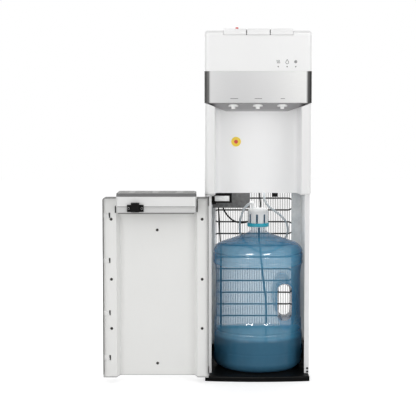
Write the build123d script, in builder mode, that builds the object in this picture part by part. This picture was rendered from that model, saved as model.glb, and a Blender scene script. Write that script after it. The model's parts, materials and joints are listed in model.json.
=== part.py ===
"""Bottom load water cooler with its door open and a five gallon bottle in the bay.

Frame: +X right, +Y back, +Z up, seen from the front. The origin is on the floor, under the middle of the
cabinet. Every piece is modelled where it stands at rest: door open half a turn, bottle in, keys up.
Door pieces are drawn in the door's own plane: u runs from the hinge to the free edge and v from the front
skin towards the bay, as they lie when the door is shut.
"""

from build123d import *
from math import radians, tan
import os

os.makedirs("parts", exist_ok=True)

# ------------------------------------------------------------------ driving dimensions, millimetres
# Heights, stacked from the floor up
base_height = 15.0
door_gap = 1.5  # running gap under the door
door_height = 528.5
hinge_gap = 6.0  # between the door and the fixed front above it
alcove_height = 268.5
band_height = 91.5
panel_height = 99.0
cover_height = 18.0
key_rise = 5.0

# Plan of the cabinet
cabinet_width = 310.0
cabinet_depth = 338.0  # from the front plane of the head and of the shut door
cabinet_rear = 158.0
head_overhang = 1.0  # of the head over the cabinet's sides
flange_setback = 50.0  # from the front plane to the steel side panels
corner_radius = 12.0  # upright front corners of the head
sheet = 1.0  # steel sheet
wall = 2.5  # moulded plastic wall
fit = 0.3  # clearance between neighbouring pieces
seat_gap = 0.2  # under a piece that lifts off its seat
running = 0.06  # radial clearance of a pin in its hole

# Side panels
front_flange = 14.0
rear_flange = 32.0
flange_hole = 2.5
flange_hole_heights = (4.5, 14.3)  # above the panel's lower edge

# Base
base_inset = 0.5  # from the cabinet's sides
base_setback = 1.0  # from the front plane
base_bow = 11.0  # the bowed front meets the sides this far back
base_corner = 6.0
base_wall = 4.0
base_edge = 3.5
guide_wall = 5.3
guide_height = 65.0
rear_guide_height = 27.0

# Door
hinge_inset = 6.0  # from the cabinet's side
hinge_setback = 17.0  # from the front plane
hinge_pin_radius = 2.5
hinge_pin_grip = 22.0
hinge_boss = 7.0
hinge_plate = 2.5
hinge_hub = 4.7  # round the lower pin's hole in the base
door_side = 5.0  # from the hinge axis to the door's hinge edge
door_play = 1.0  # the door is narrower than the cabinet by this on each side
door_depth = 45.0
door_corner = 8.0
skin = 2.0
strip_low = 28.0  # from the hinge axis to the end of the liner's raised strip
free_strip = 40.0  # width of the raised strip along the free edge
strip_lift = 21.0
liner_floor = -3.0
liner = 2.0
liner_slope = 8.0
hinge_screw_u = 13.6
free_screw_inset = 24.6
screw_rises = (144.0, 289.0)  # above the door's lower edge
screw_drop = 63.5  # below its upper edge
middle_screw_rise = 35.5
middle_screw_drop = 97.5
screw_post = 4.0
screw_radius = 1.6
screw_head = 3.2
tab_rises = (57.5, 190.0, 344.0)
tab_drop = 52.0
tab_inset = 14.0
tab_width = 12.0
tab_slot = 4.5
tab_proud = 1.2
tab_height = 15.0

# Drip tray on the door
tray_low = 29.5  # from the hinge axis
tray_inset = 42.5  # from the free edge
tray_reach = 71.5
tray_drop = 41.0  # holder below the door's upper edge
holder_rise = 6.0
holder_wall = 2.2
rim_height = 9.0
rim_wall = 2.0
grille_thickness = 3.6
grille_seat = 1.9  # ledge below the rim's top
slot_pitch = 8.6
slot_bars = (-67.0, 3.0, 71.4)  # middles of the bars across the slots, from the grille's middle
slot_bar = 17.0
slot_margin = 3.4
slot_rows = 9
slot_width = 4.2
basin_wall = 1.6

# Latch
latch_inset = 56.0  # from the tray's end near the free edge
latch_width = 23.5
latch_lug_width = 47.5
latch_depth = 16.5
latch_height = 26.5
latch_lug_height = 20.5
tongue_width = 13.0
tongue_depth = 5.0
keeper_reach = 12.0

# Alcove
recess_half = 126.0
recess_back_half = 121.3
recess_depth = 92.0
recess_fillet = 14.0
lower_corner = 8.0
hood_drop = 24.5
hood_back_half = 92.0
hood_lip = 6.0  # from the head's front face to the hood

# Taps
tap_spacing = 71.5
tap_setback = 30.0  # from the front plane
tap_flange_radius = 15.0
tap_flange_top = 4.0  # below the head's underside
tap_flange_height = 7.0
tap_nozzle_radius = 6.0
tap_nozzle_length = 6.5
tap_bore = 3.5
tap_shank = 7.0
tap_shank_top = 16.0  # above the head's underside

# Control panel, band, lamps
band_thickness = 1.2
rocker_tilt = 8.0
lamp_radius = 2.0
lamp_insets = (98.4, 72.7, 48.0)  # from the head's right side
lamp_height = 104.5  # above the head's underside
board_standoff = 5.0
board = 1.6
board_margin = 24.0  # past the outer lamps
board_below = 32.0  # below and above the lamps
board_above = 38.0
board_post = 2.5
socket_inset = 12.0  # the plug socket on the board's back
socket_width = 28.0
socket_height = 18.0
socket_drop = 10.0
socket_depth = 12.0

# Keys and child lock
key_block = 201.0
key_gap = 1.6
key_depth = 49.0
key_wall = 2.2
key_front_clear = 5.2
pit_floor = 1.5
pivot_radius = 1.5
pivot_setback = 4.0
pivot_height = 9.0
lock_x = -61.7
lock_setback = 16.0
lock_travel = 4.0

# Machine compartment
shelf_rise = 11.0  # shelf above the alcove's lower edge
shelf = 1.5
shelf_lip = 12.0
tank_shelf_rise = 223.0
compressor_x = 62.0
compressor_y = 92.0
compressor_radius = 51.0
compressor_height = 130.0
compressor_crown = 30.0  # rounding of its dome
compressor_foot_half = (50.0, 47.0)
relay_reach = 12.0  # the terminal box on its side
relay_overlap = 21.0
relay_half = 18.0
relay_rise = 40.0
relay_height = 50.0
mount_radius = 7.5
mount_inset = 8.0
mount_height = 9.0
stub_radius = 4.0
stub_height = 12.0  # above the compressor's dome
discharge_x = 36.0
suction_x = 92.0
stub_y = 100.0
drier_radius = 9.0
drier_length = 80.0
cold_tank_x = 70.0
hot_tank_x = -84.0
tank_y = 36.0
cold_tank_radius = 54.0
cold_tank_height = 150.0
foam = 16.0
hot_tank_radius = 46.0
hot_tank_height = 150.0
jacket = 12.0
tank_wall = 1.2
tank_rounding = 10.0
tank_neck = 9.0
tube_crest = 24.0
drain_radius_outer = 6.0
drain_reach = 14.0
drain_rise = 14.0  # above the tank's floor
outlet_radius = 5.0
silicone_radius = 5.0

# Condenser on the back
tube_radius = 2.4
row_pitch = 38.3
row_count = 18
top_row_drop = 41.9  # the top row below the tanks' floor
run_half = 112.0  # straight part of each row
condenser_y = 168.0
wire_radius = 0.65
wire_pitch = 5.6
wire_half = 118.0
wire_overhang = 8.0
discharge_exit_x = -112.0  # where the compressor's line passes the rear cover
return_join_x = -92.0  # where the winding joins the lines at both its ends
line_dip = 17.5  # the lines pass the wires this far above and below the winding
line_corner = 10.0
fitting_radius = 5.0
fitting_height = 16.0
line_low_x = 76.0  # lines that rise into the cold tank's foam
line_high_x = 86.0
line_y = 82.0
line_hole = 11.0
suction_line_radius = 3.2
capillary_radius = 1.2
ambient_setback = 22.0  # behind the recess
ambient_run = 40.0  # heights of its level runs above the tap and above the shelf
return_route = [(-113.0, 146.0), (-113.0, 146.0), (-104.0, 148.0)]  # plan of the line, from the top down
return_heights = (30.0, 500.0, 345.0)  # the first above the shelf, the others above the floor
return_easing = 400.0  # radius of its long slow bends

# Boxes and bracket hanging in the bay
box_inset = 18.0  # from the inside of the cabinet's left side
box_width = 63.0
box_front = -25.0
box_back = 45.0
box_drop = 46.0
window_inset = 11.0  # the plate's window in the box's front
window_edge = 7.0
window_drop = 24.5
window_height = 16.5
plate_front = 60.0
plate_inset = 24.0
plate_width = 116.0
plate_drop = 69.0
plate_flange = 32.0
pump_length = 60.0
pump_drop = 42.0  # the pump's underside below the shelf
pump_hang = 6.0
motor_radius = 18.0
motor_length = 46.0
stub_length = 10.0
stub_proud = 3.0

# Rear cover, switches and power inlet
cover_drop = 6.0  # below the shelf
cover_inset = 15.0
switch_x = 62.0
switch_rise = 75.0  # above the band's lower edge
switch_size = (15.0, 21.0)
switch_rim = 2.0
switch_depth = 11.0
sleeve_wall = 1.0
rocker_pin = 1.0
inlet_x = 8.0
inlet_size = (27.0, 20.0)
inlet_rim = 2.5
inlet_depth = 16.0
vent_drop = 50.0

# Bottle and probe
bottle_x = 8.0
bottle_y = -15.0
bottle_wall = 1.5
bottle_height = 472.5
bottle_radius = 137.0
waist_radius = 129.5
body_rise = 84.0  # heights on the bottle, above its foot
grip_rise = 140.0
waist_low = 200.0
waist_high = 282.0
rib_low = 289.0
rib_high = 309.0
rib_swell = 3.6
body_high = 321.0
shoulder_rise = 372.0
neck_start = 415.0
shoulder_radius = 70.0
throat_radius = 38.0
shoulder_lift = 22.5
throat_lift = 34.0
bottle_roundings = [27, 60, 90, 60, 8, 8, 8, 10, 34, 80, 20, 8]
neck_radius = 23.0
mouth_radius = 28.0
mouth_height = 36.0
handle_x = 78.0  # middle of the hand hole, from the bottle's axis
handle_width = 34.0
handle_height = 93.0
handle_rise = 200.0
handle_corner = 14.0
cap_radius = 30.7
cap_height = 55.0
cap_rise = 11.0  # above the bottle's mouth
cap_turn = -9.0  # degrees, of its slots
cap_dome = 9.0
cap_wall = 2.2
cap_slots = 8
cap_slot_width = 6.0
slot_rise = 10.0
slot_height = 28.0
collar_height = 10.5
collar_wall = 2.5
elbow_radius = 4.6
elbow_bend = 6.0
elbow_reach = 12.0
probe_radius = 3.0
foot_radius = 9.0
foot_length = 36.0
probe_bends = [(9.5, 440.0), (13.0, 392.0), (17.6, 345.0), (24.5, 276.0), (33.5, 214.0), (34.5, 150.0),
               (31.5, 60.0)]

# Hoses and their routes, chosen by hand
suction_radius = 3.5
suction_route = [
    (-16.0, -15.0, 514.0),
    (-28.0, -13.0, 506.0),
    (-36.5, -6.0, 493.0),
    (-41.5, 4.5, 478.0),
    (-45.0, 18.0, 462.0),
    (-47.0, 36.0, 445.0),
    (-46.5, 60.0, 426.0),
    (-42.5, 88.0, 407.0),
    (-32.5, 114.0, 386.0),
    (-15.0, 133.0, 362.0),
    (14.0, 139.0, 344.0),
    (44.0, 139.5, 341.5),
    (70.0, 138.0, 350.0),
    (90.0, 132.0, 369.0),
    (104.0, 120.0, 393.0),
    (109.5, 105.0, 417.0),
    (105.0, 91.0, 440.0),
    (90.0, 79.0, 462.0),
    (67.0, 69.0, 481.0),
    (45.0, 56.0, 496.0),
    (31.5, 42.0, 514.0),
    (28.0, 32.0, 536.0),
    (28.0, 32.0, 562.0),
]
drain_radius = 2.5
drain_route = [
    (-100.0, 84.0, 517.0),
    (-100.0, 84.0, 499.0),
    (-94.5, 68.0, 482.0),
    (-82.0, 50.0, 466.0),
    (-66.0, 46.0, 453.0),
    (-45.0, 46.0, 446.5),
    (-22.0, 46.0, 449.5),
    (0.0, 46.0, 463.0),
    (14.0, 44.0, 482.0),
    (18.5, 39.0, 504.0),
    (14.5, 32.0, 532.0),
    (14.5, 32.0, 562.0),
]

# ------------------------------------------------------------------ derived places
door_bottom = base_height + door_gap
door_top = door_bottom + door_height
alcove_bottom = door_top + hinge_gap
head_bottom = alcove_bottom + alcove_height
band_top = head_bottom + band_height
cover_bottom = band_top + panel_height
cover_top = cover_bottom + cover_height
key_top = cover_top + key_rise
half_width = cabinet_width / 2
head_half = half_width + head_overhang
cabinet_front = cabinet_rear - cabinet_depth
flange_front = cabinet_front + flange_setback
recess_back = cabinet_front + recess_depth
tap_y = cabinet_front + tap_setback
ambient_y = recess_back + ambient_setback
lamp_x = [head_half - lamp_inset for lamp_inset in lamp_insets]
base_half_width = half_width - base_inset
base_front = cabinet_front + base_setback
base_shoulder = base_front + base_bow
shelf_bottom = alcove_bottom + shelf_rise
shelf_top = shelf_bottom + shelf
tank_shelf_bottom = shelf_bottom + tank_shelf_rise
tank_floor = tank_shelf_bottom + shelf
inner_half = half_width - sheet
hinge_x = hinge_inset - half_width
hinge_y = cabinet_front + hinge_setback
door_width = cabinet_width - 2 * door_play
door_plane = Plane(origin=(hinge_x, hinge_y, 0), x_dir=(-1, 0, 0), z_dir=(0, 0, 1))
door_front = cabinet_front - hinge_y
door_back = door_front + door_depth
door_low = -door_side
door_high = door_width - door_side
strip_high = door_high - free_strip
screw_places = [(u, door_bottom + rise) for u in (hinge_screw_u, door_high - free_screw_inset)
                for rise in (*screw_rises, door_height - screw_drop)]
middle_screw_u = (strip_low + strip_high) / 2
middle_screw_heights = (door_bottom + middle_screw_rise, door_top - middle_screw_drop)
tab_heights = [door_bottom + rise for rise in (*tab_rises, door_height - tab_drop)]
tray_high = door_high - tray_inset
latch_u = tray_high - latch_inset
tray_bottom = door_top - tray_drop
rim_bottom = door_top + holder_rise
rim_top = rim_bottom + rim_height
bottle_floor = base_height + fit
bottle_top = bottle_floor + bottle_height
cap_top = bottle_top + cap_rise
cap_bottom = cap_top - cap_height
tap_places = (-tap_spacing, 0.0, tap_spacing)
first_row = tank_floor - top_row_drop - row_pitch * (row_count - 1)
rows = [first_row + row_pitch * k for k in range(row_count)]
discharge_height = rows[-1] + line_dip
return_low = rows[0] - line_dip
cover_low = shelf_bottom - cover_drop
cover_half = half_width - cover_inset
drain_height = tank_floor + drain_rise
switch_height = head_bottom + switch_rise
lock_y = cabinet_front + lock_setback


def slab(x0, x1, y0, y1, z0, z1, mode=Mode.ADD):
    """A box between two corners, in the builder's own plane."""
    with Locations(((x0 + x1) / 2, (y0 + y1) / 2, (z0 + z1) / 2)):
        Box(abs(x1 - x0), abs(y1 - y0), abs(z1 - z0), mode=mode)


def rod(x, y, z, radius, length, along="Z", mode=Mode.ADD):
    """A round bar centred on a point, along one axis of the builder's own plane."""
    turn = {"X": (0, 90, 0), "Y": (90, 0, 0), "Z": (0, 0, 0)}[along]
    with Locations((x, y, z)):
        Cylinder(radius, length, rotation=turn, mode=mode)


def write(built, name):
    """Label a finished piece and write its file."""
    built.part.label = name
    export_step(built.part, f"parts/{name}.step")


def bend_radii(route, share=0.45):
    """One radius for each corner of a route: as large as its two runs allow."""
    points = [Vector(*p) for p in route]
    radii = []
    for before, here, after in zip(points, points[1:], points[2:]):
        run_in, run_out = here - before, after - here
        turn = run_in.get_angle(run_out)
        shorter = min(run_in.length, run_out.length)
        radii.append(share * shorter / tan(radians(turn) / 2))
    return radii


def head_outline(half, front, rear, radius):
    """Plan of the head: square at the back, round at the two front corners."""
    with BuildLine() as outline:
        Line((-half, rear), (half, rear))
        Line((half, rear), (half, front + radius))
        RadiusArc((half, front + radius), (half - radius, front), radius)
        Line((half - radius, front), (-half + radius, front))
        RadiusArc((-half + radius, front), (-half, front + radius), radius)
        Line((-half, front + radius), (-half, rear))
    make_face(outline.edges())


# ------------------------------------------------------------------ base and steel cabinet
with BuildPart() as base_tray:
    with BuildSketch() as base_plan:
        with BuildLine():
            Line((-base_half_width, base_shoulder), (-base_half_width, cabinet_rear))
            Line((-base_half_width, cabinet_rear), (base_half_width, cabinet_rear))
            Line((base_half_width, cabinet_rear), (base_half_width, base_shoulder))
            ThreePointArc((base_half_width, base_shoulder), (0, base_front),
                          (-base_half_width, base_shoulder))
        make_face()
        fillet(base_plan.vertices().group_by(Axis.Y)[0], radius=base_corner)
    extrude(amount=base_height)
    top_edges = base_tray.edges().group_by(Axis.Z)[-1]
    fillet(top_edges.filter_by(GeomType.CIRCLE), radius=base_edge)
    with BuildSketch():
        add(base_plan.sketch)
        offset(amount=-base_wall, mode=Mode.REPLACE)
    extrude(amount=base_height - base_wall, mode=Mode.SUBTRACT)
    rod(hinge_x, hinge_y, base_height / 2, hinge_hub, base_height)
    rod(hinge_x, hinge_y, base_height, hinge_pin_radius + running, 2 * (base_height - 3), mode=Mode.SUBTRACT)
    for side in (-1, 1):
        outer = side * (inner_half - 0.2)
        slab(outer, outer - side * guide_wall, flange_front + 2 * sheet, cabinet_rear - 2 * sheet,
             base_height, base_height + guide_height)
    slab(-inner_half + guide_wall, inner_half - guide_wall, cabinet_rear - 8, cabinet_rear - 2 * sheet,
         base_height, base_height + rear_guide_height)
write(base_tray, "base_tray")


def side_panel(side):
    """Folded steel side of the cabinet, with a flange along its front and its rear edge."""
    outer = side * half_width
    with BuildPart() as panel:
        slab(outer, outer - side * sheet, flange_front, cabinet_rear, base_height, cover_bottom)
        slab(outer, outer - side * front_flange, flange_front, flange_front + sheet, base_height,
             cover_bottom)
        slab(outer, outer - side * rear_flange, cabinet_rear - sheet, cabinet_rear, base_height, cover_bottom)
        for rise in flange_hole_heights:
            rod(outer - side * front_flange / 3, flange_front, base_height + rise, flange_hole, 6, "Y",
                mode=Mode.SUBTRACT)
    return panel


left_side_panel = side_panel(-1)
right_side_panel = side_panel(1)
write(left_side_panel, "left_side_panel")
write(right_side_panel, "right_side_panel")


def shelf_plate(bottom, front):
    """Steel shelf between the side panels, with turned-down lips along both sides."""
    slab(-inner_half + 0.1, inner_half - 0.1, front, cabinet_rear - sheet, bottom, bottom + shelf)
    for side in (-1, 1):
        edge = side * (inner_half - 0.1)
        slab(edge, edge - side * shelf, front, cabinet_rear - sheet, bottom - shelf_lip, bottom)


with BuildPart() as machine_shelf:
    shelf_plate(shelf_bottom, recess_back + wall + 0.2)
    rod(*return_route[0], shelf_bottom, tube_radius + 1, 4 * shelf, mode=Mode.SUBTRACT)
    for route in (suction_route, drain_route):
        rod(*route[-1][:2], shelf_bottom, fitting_radius + fit, 4 * shelf, mode=Mode.SUBTRACT)
write(machine_shelf, "machine_shelf")

with BuildPart() as tank_shelf:
    shelf_plate(tank_shelf_bottom, recess_back + wall + 0.2)
    rod((line_low_x + line_high_x) / 2, line_y, tank_shelf_bottom, line_hole, 4 * shelf, mode=Mode.SUBTRACT)
    rod(0, ambient_y, tank_shelf_bottom, silicone_radius + 1, 4 * shelf, mode=Mode.SUBTRACT)
write(tank_shelf, "tank_shelf")

# Rear cover: vents, and holes for the switches, the inlet, the drain and the condenser's upper tube
with BuildPart() as rear_cover:
    slab(-cover_half, cover_half, cabinet_rear, cabinet_rear + sheet, cover_low, cover_bottom - 4)
    for x in (-switch_x, switch_x):
        slab(x - switch_size[0] / 2, x + switch_size[0] / 2, cabinet_rear - 2, cabinet_rear + 3,
             switch_height - switch_size[1] / 2, switch_height + switch_size[1] / 2, mode=Mode.SUBTRACT)
    slab(inlet_x - inlet_size[0] / 2, inlet_x + inlet_size[0] / 2, cabinet_rear - 2, cabinet_rear + 3,
         switch_height - inlet_size[1] / 2, switch_height + inlet_size[1] / 2, mode=Mode.SUBTRACT)
    rod(hot_tank_x, cabinet_rear, drain_height, 9, 10, "Y", mode=Mode.SUBTRACT)
    rod(discharge_exit_x, cabinet_rear, discharge_height, tube_radius + 1, 10, "Y", mode=Mode.SUBTRACT)
    with BuildSketch(Plane.XZ.offset(-cabinet_rear)):
        with Locations((0, cover_bottom - vent_drop)):
            with GridLocations(26, 12, 8, 4):
                SlotOverall(18, 4)
    extrude(amount=-3 * sheet, both=True, mode=Mode.SUBTRACT)
write(rear_cover, "rear_cover")

# ------------------------------------------------------------------ fixed front: alcove, hood, taps, head
with BuildPart() as hood_space:
    with BuildSketch(Plane.XZ.offset(-cabinet_front)):
        with BuildLine():
            Polyline((-half_width, head_bottom), (half_width, head_bottom),
                     (hood_back_half, head_bottom - hood_drop), (-hood_back_half, head_bottom - hood_drop),
                     close=True)
        make_face()
    extrude(amount=-(recess_back - cabinet_front))


def recess_outline(grow):
    """Plan of the glass recess, grown by an amount, open past the front."""
    with BuildLine() as outline:
        FilletPolyline((-recess_half - grow, cabinet_front - 1),
                       (-recess_back_half - grow, recess_back + grow),
                       (recess_back_half + grow, recess_back + grow),
                       (recess_half + grow, cabinet_front - 1), radius=recess_fillet + grow)
        Line((recess_half + grow, cabinet_front - 1), (-recess_half - grow, cabinet_front - 1))
    make_face(outline.edges())


with BuildPart() as alcove_panel:
    with BuildSketch(Plane.XY.offset(alcove_bottom)):
        head_outline(half_width, cabinet_front, flange_front, corner_radius)
    extrude(amount=alcove_height)
    outer_edges = alcove_panel.edges().group_by(Axis.Z)[0].filter_by(Axis.Y)
    fillet(outer_edges, radius=lower_corner)
    with BuildSketch(Plane.XY.offset(alcove_bottom)):
        recess_outline(wall)
        with Locations((0, cabinet_front - 10)):
            Rectangle(2 * half_width, 20, mode=Mode.SUBTRACT)
    extrude(amount=alcove_height)
    with BuildSketch(Plane.XY.offset(alcove_bottom + wall)):
        for side in (-1, 1):
            with BuildLine():
                Polyline((side * (half_width - wall), cabinet_front + wall + 6),
                         (side * (half_width - wall - 6), cabinet_front + wall),
                         (side * (recess_half + wall), cabinet_front + wall),
                         (side * (recess_half + wall), flange_front + 1),
                         (side * (half_width - wall), flange_front + 1), close=True)
            make_face()
    extrude(amount=alcove_height, mode=Mode.SUBTRACT)
    with BuildSketch(Plane.XY.offset(alcove_bottom)):
        recess_outline(0)
    extrude(amount=alcove_height, mode=Mode.SUBTRACT)
    add(hood_space.part, mode=Mode.SUBTRACT)
write(alcove_panel, "alcove_panel")

with BuildPart() as tap_hood:
    add(hood_space.part)
    split(bisect_by=Plane(origin=(0, cabinet_front, head_bottom), x_dir=(1, 0, 0),
                          z_dir=(0, hood_drop, recess_back - cabinet_front)), keep=Keep.TOP)
    slab(-half_width, half_width, cabinet_front - 1, cabinet_front + hood_lip, head_bottom - hood_drop,
         head_bottom, mode=Mode.SUBTRACT)
    for side in (-1, 1):
        slab(side * (half_width - front_flange - fit), side * half_width, flange_front, recess_back,
             head_bottom - hood_drop, head_bottom, mode=Mode.SUBTRACT)
    for x in tap_places:
        rod(x, tap_y, head_bottom, tap_shank + 0.2, 3 * hood_drop, mode=Mode.SUBTRACT)
        rod(x, tap_y, head_bottom - tap_flange_top - hood_drop / 2, tap_flange_radius + fit, hood_drop,
            mode=Mode.SUBTRACT)
write(tap_hood, "tap_hood")

flange_top = head_bottom - tap_flange_top
flange_bottom = flange_top - tap_flange_height


def tap(x):
    """Spout seen under the hood: round flange, short nozzle, and the shank that runs up to its hose."""
    with BuildPart() as spout:
        rod(x, tap_y, (flange_top + flange_bottom) / 2, tap_flange_radius, tap_flange_height)
        fillet(spout.edges().group_by(Axis.Z)[0], radius=1.5)
        rod(x, tap_y, flange_bottom - tap_nozzle_length / 2, tap_nozzle_radius, tap_nozzle_length)
        rod(x, tap_y, (flange_top + head_bottom + tap_shank_top) / 2, tap_shank,
            head_bottom + tap_shank_top - flange_top)
        rod(x, tap_y, head_bottom, tap_bore, 6 * tap_flange_height + 2 * tap_shank_top, mode=Mode.SUBTRACT)
    return spout


for tap_name, x in zip(("tap_hot", "tap_ambient", "tap_cold"), tap_places):
    write(tap(x), tap_name)

with BuildPart() as control_panel:
    with BuildSketch(Plane.XY.offset(head_bottom)):
        head_outline(head_half - band_thickness, cabinet_front + band_thickness, flange_front,
                     corner_radius - band_thickness)
    extrude(amount=band_height)
    with BuildSketch(Plane.XY.offset(band_top)):
        head_outline(head_half, cabinet_front, flange_front, corner_radius)
    extrude(amount=panel_height)
    inset = wall + band_thickness
    with BuildSketch(Plane.XY.offset(head_bottom + wall)):
        head_outline(head_half - inset, cabinet_front + inset, flange_front + 1, corner_radius - inset)
    extrude(amount=band_height + panel_height, mode=Mode.SUBTRACT)
    for x in tap_places:
        rod(x, tap_y, head_bottom, tap_shank + 0.2, 4 * wall, mode=Mode.SUBTRACT)
    for x in lamp_x:
        rod(x, cabinet_front, head_bottom + lamp_height, lamp_radius + 0.1, 6 * wall, "Y", mode=Mode.SUBTRACT)
write(control_panel, "control_panel")

with BuildPart() as steel_band:
    with BuildSketch(Plane.XY.offset(head_bottom)):
        head_outline(head_half, cabinet_front, flange_front, corner_radius)
    extrude(amount=band_height - 0.2)
    grow = band_thickness - 0.1
    with BuildSketch(Plane.XY.offset(head_bottom)):
        head_outline(head_half - grow, cabinet_front + grow, flange_front + 1, corner_radius - grow)
    extrude(amount=band_height, mode=Mode.SUBTRACT)
write(steel_band, "steel_band")

board_front = cabinet_front + inset + board_standoff
with BuildPart() as indicator_lamps:
    for x in lamp_x:
        rod(x, (cabinet_front - 0.3 + board_front) / 2, head_bottom + lamp_height, lamp_radius,
            board_front - cabinet_front + 0.3, "Y")
write(indicator_lamps, "indicator_lamps")

board_low_x = lamp_x[0] - board_margin
board_high_x = lamp_x[-1] + board_margin
board_low = head_bottom + lamp_height - board_below
board_high = head_bottom + lamp_height + board_above
with BuildPart() as control_board:
    slab(board_low_x, board_high_x, board_front, board_front + board, board_low, board_high)
    for x in (board_low_x + 2 * board_post, board_high_x - 2 * board_post):
        for z in (board_low + 2 * board_post, board_high - 2 * board_post):
            rod(x, board_front - board_standoff / 2, z, board_post, board_standoff, "Y")
    socket_low_x = board_low_x + socket_inset
    socket_top = board_high - socket_drop
    slab(socket_low_x, socket_low_x + socket_width, board_front + board, board_front + board + socket_depth,
         socket_top - socket_height, socket_top)
write(control_board, "control_board")

# ------------------------------------------------------------------ top cover, keys and child lock
key_width = (key_block - 2 * key_gap) / 3
pit_half = key_block / 2 + key_gap / 2
pit_back = cabinet_front + key_depth + 1.5
pivot_y = cabinet_front + pivot_setback
pivot_z = cover_bottom + pivot_height
with BuildPart() as top_cover:
    with BuildSketch(Plane.XY.offset(cover_bottom)):
        head_outline(head_half, cabinet_front, cabinet_rear, corner_radius)
    extrude(amount=cover_height)
    rim_edges = top_cover.edges().group_by(Axis.Z)[-1]
    fillet(rim_edges, radius=corner_radius - 1)
    with BuildSketch(Plane.XY.offset(cover_bottom)):
        head_outline(head_half - inset, pit_back + wall, cabinet_rear - wall, 1)
    extrude(amount=cover_height - 4 * wall / 3, mode=Mode.SUBTRACT)
    slab(-pit_half, pit_half, cabinet_front + wall, pit_back, cover_bottom + pit_floor, key_top,
         mode=Mode.SUBTRACT)
    slab(-pit_half, pit_half, cabinet_front - 1, cabinet_front + 2 * wall,
         cover_bottom + key_front_clear - 0.7, key_top, mode=Mode.SUBTRACT)
    rod(0, pivot_y, pivot_z, pivot_radius + 0.02, key_block + 12, "X", mode=Mode.SUBTRACT)
write(top_cover, "top_cover")

with BuildPart() as key_pivot_rod:
    rod(0, pivot_y, pivot_z, pivot_radius, key_block + 11, "X")
write(key_pivot_rod, "key_pivot_rod")


def key(index, slot_x=None):
    """Rocking key: a hollow cap that turns on the rod behind its front skirt."""
    low = -key_block / 2 + index * (key_width + key_gap)
    high = low + key_width
    front = cabinet_front
    back = cabinet_front + key_depth
    with BuildPart() as cap:
        slab(low, high, front, back, cover_bottom + key_front_clear, key_top)
        fillet(cap.edges().group_by(Axis.Z)[-1], radius=3)
        slab(low + key_wall, high - key_wall, front + key_wall, back - key_wall, cover_bottom,
             key_top - key_wall, mode=Mode.SUBTRACT)
        for end in (low, high):
            inward = 6 if end == low else -6
            slab(end, end + inward, pivot_y - 3.6, pivot_y + 3.6, pivot_z - 3.5, pivot_z + 4)
        rod((low + high) / 2, pivot_y, pivot_z, pivot_radius + running, key_width + 2, "X",
            mode=Mode.SUBTRACT)
        if slot_x is not None:
            slab(slot_x - 2, slot_x + 2, lock_y - 3.5, lock_y + lock_travel + 3.5, key_top - 2 * key_wall,
                 key_top + 1, mode=Mode.SUBTRACT)
    return cap


write(key(0, lock_x), "hot_key")
write(key(1), "ambient_key")
write(key(2), "cold_key")

with BuildPart() as child_lock:
    slab(lock_x - 4.2, lock_x + 4.2, lock_y - 6, lock_y + 6, key_top + 0.1, key_top + 4.6)
    fillet(child_lock.edges().group_by(Axis.Z)[-1], radius=1.2)
    slab(lock_x - 1.7, lock_x + 1.7, lock_y - 3, lock_y + 3, key_top - key_wall - 0.2, key_top + 0.1)
    slab(lock_x - 4, lock_x + 4, lock_y - 4, lock_y + 4, key_top - key_wall - 1.6, key_top - key_wall - 0.2)
write(child_lock, "child_lock")

# ------------------------------------------------------------------ machine compartment
foot_x, foot_y = compressor_foot_half
compressor_foot = shelf_top + mount_height
dome_bottom = compressor_foot + 3
dome_top = dome_bottom + compressor_height
with BuildPart() as compressor_mounts:
    for dx in (mount_inset - foot_x, foot_x - mount_inset):
        for dy in (mount_inset - foot_y, foot_y - mount_inset):
            rod(compressor_x + dx, compressor_y + dy, shelf_top + mount_height / 2, mount_radius,
                mount_height)
write(compressor_mounts, "compressor_mounts")

with BuildPart() as compressor:
    rod(compressor_x, compressor_y, (dome_bottom + dome_top) / 2, compressor_radius, compressor_height)
    fillet(compressor.edges().group_by(Axis.Z)[-1], radius=compressor_crown)
    rod(compressor_x, compressor_y, dome_bottom + compressor_height * 0.55, compressor_radius + 2.5, 6)
    slab(compressor_x - foot_x, compressor_x + foot_x, compressor_y - foot_y, compressor_y + foot_y,
         compressor_foot, dome_bottom)
    relay_x = compressor_x - compressor_radius
    slab(relay_x - relay_reach, relay_x + relay_overlap, compressor_y - relay_half, compressor_y + relay_half,
         dome_bottom + relay_rise, dome_bottom + relay_rise + relay_height)
    for x in (discharge_x, suction_x):
        rod(x, stub_y, dome_top, stub_radius, 2 * stub_height)
write(compressor, "compressor")


def tank(x, radius, height, bottom):
    """Closed steel tank with round edges and an outlet neck on its lid."""
    tank_section = Plane(origin=(x, tank_y, bottom + height / 2), x_dir=(1, 0, 0), z_dir=(0, -1, 0))
    with BuildPart() as vessel:
        with BuildSketch(tank_section) as shell:
            RectangleRounded(2 * radius, height, tank_rounding)
            RectangleRounded(2 * (radius - tank_wall), height - 2 * tank_wall, tank_rounding - tank_wall,
                             mode=Mode.SUBTRACT)
            with Locations((-radius, 0)):
                Rectangle(2 * radius, 2 * height, mode=Mode.SUBTRACT)
        revolve(shell.sketch, axis=Axis((x, tank_y, 0), (0, 0, 1)))
        rod(x, tank_y - radius / 2, bottom + height + tank_neck / 2 - tank_wall / 2, outlet_radius,
            tank_neck + tank_wall)
        rod(x, tank_y - radius / 2, bottom + height, outlet_radius - tank_wall, 4 * tank_neck,
            mode=Mode.SUBTRACT)
    return vessel


cold_bottom = tank_floor + foam
cold_top = cold_bottom + cold_tank_height
hot_top = tank_floor + hot_tank_height
write(tank(cold_tank_x, cold_tank_radius, cold_tank_height, cold_bottom), "cold_tank")
write(tank(hot_tank_x, hot_tank_radius, hot_tank_height, tank_floor), "hot_tank")

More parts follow.
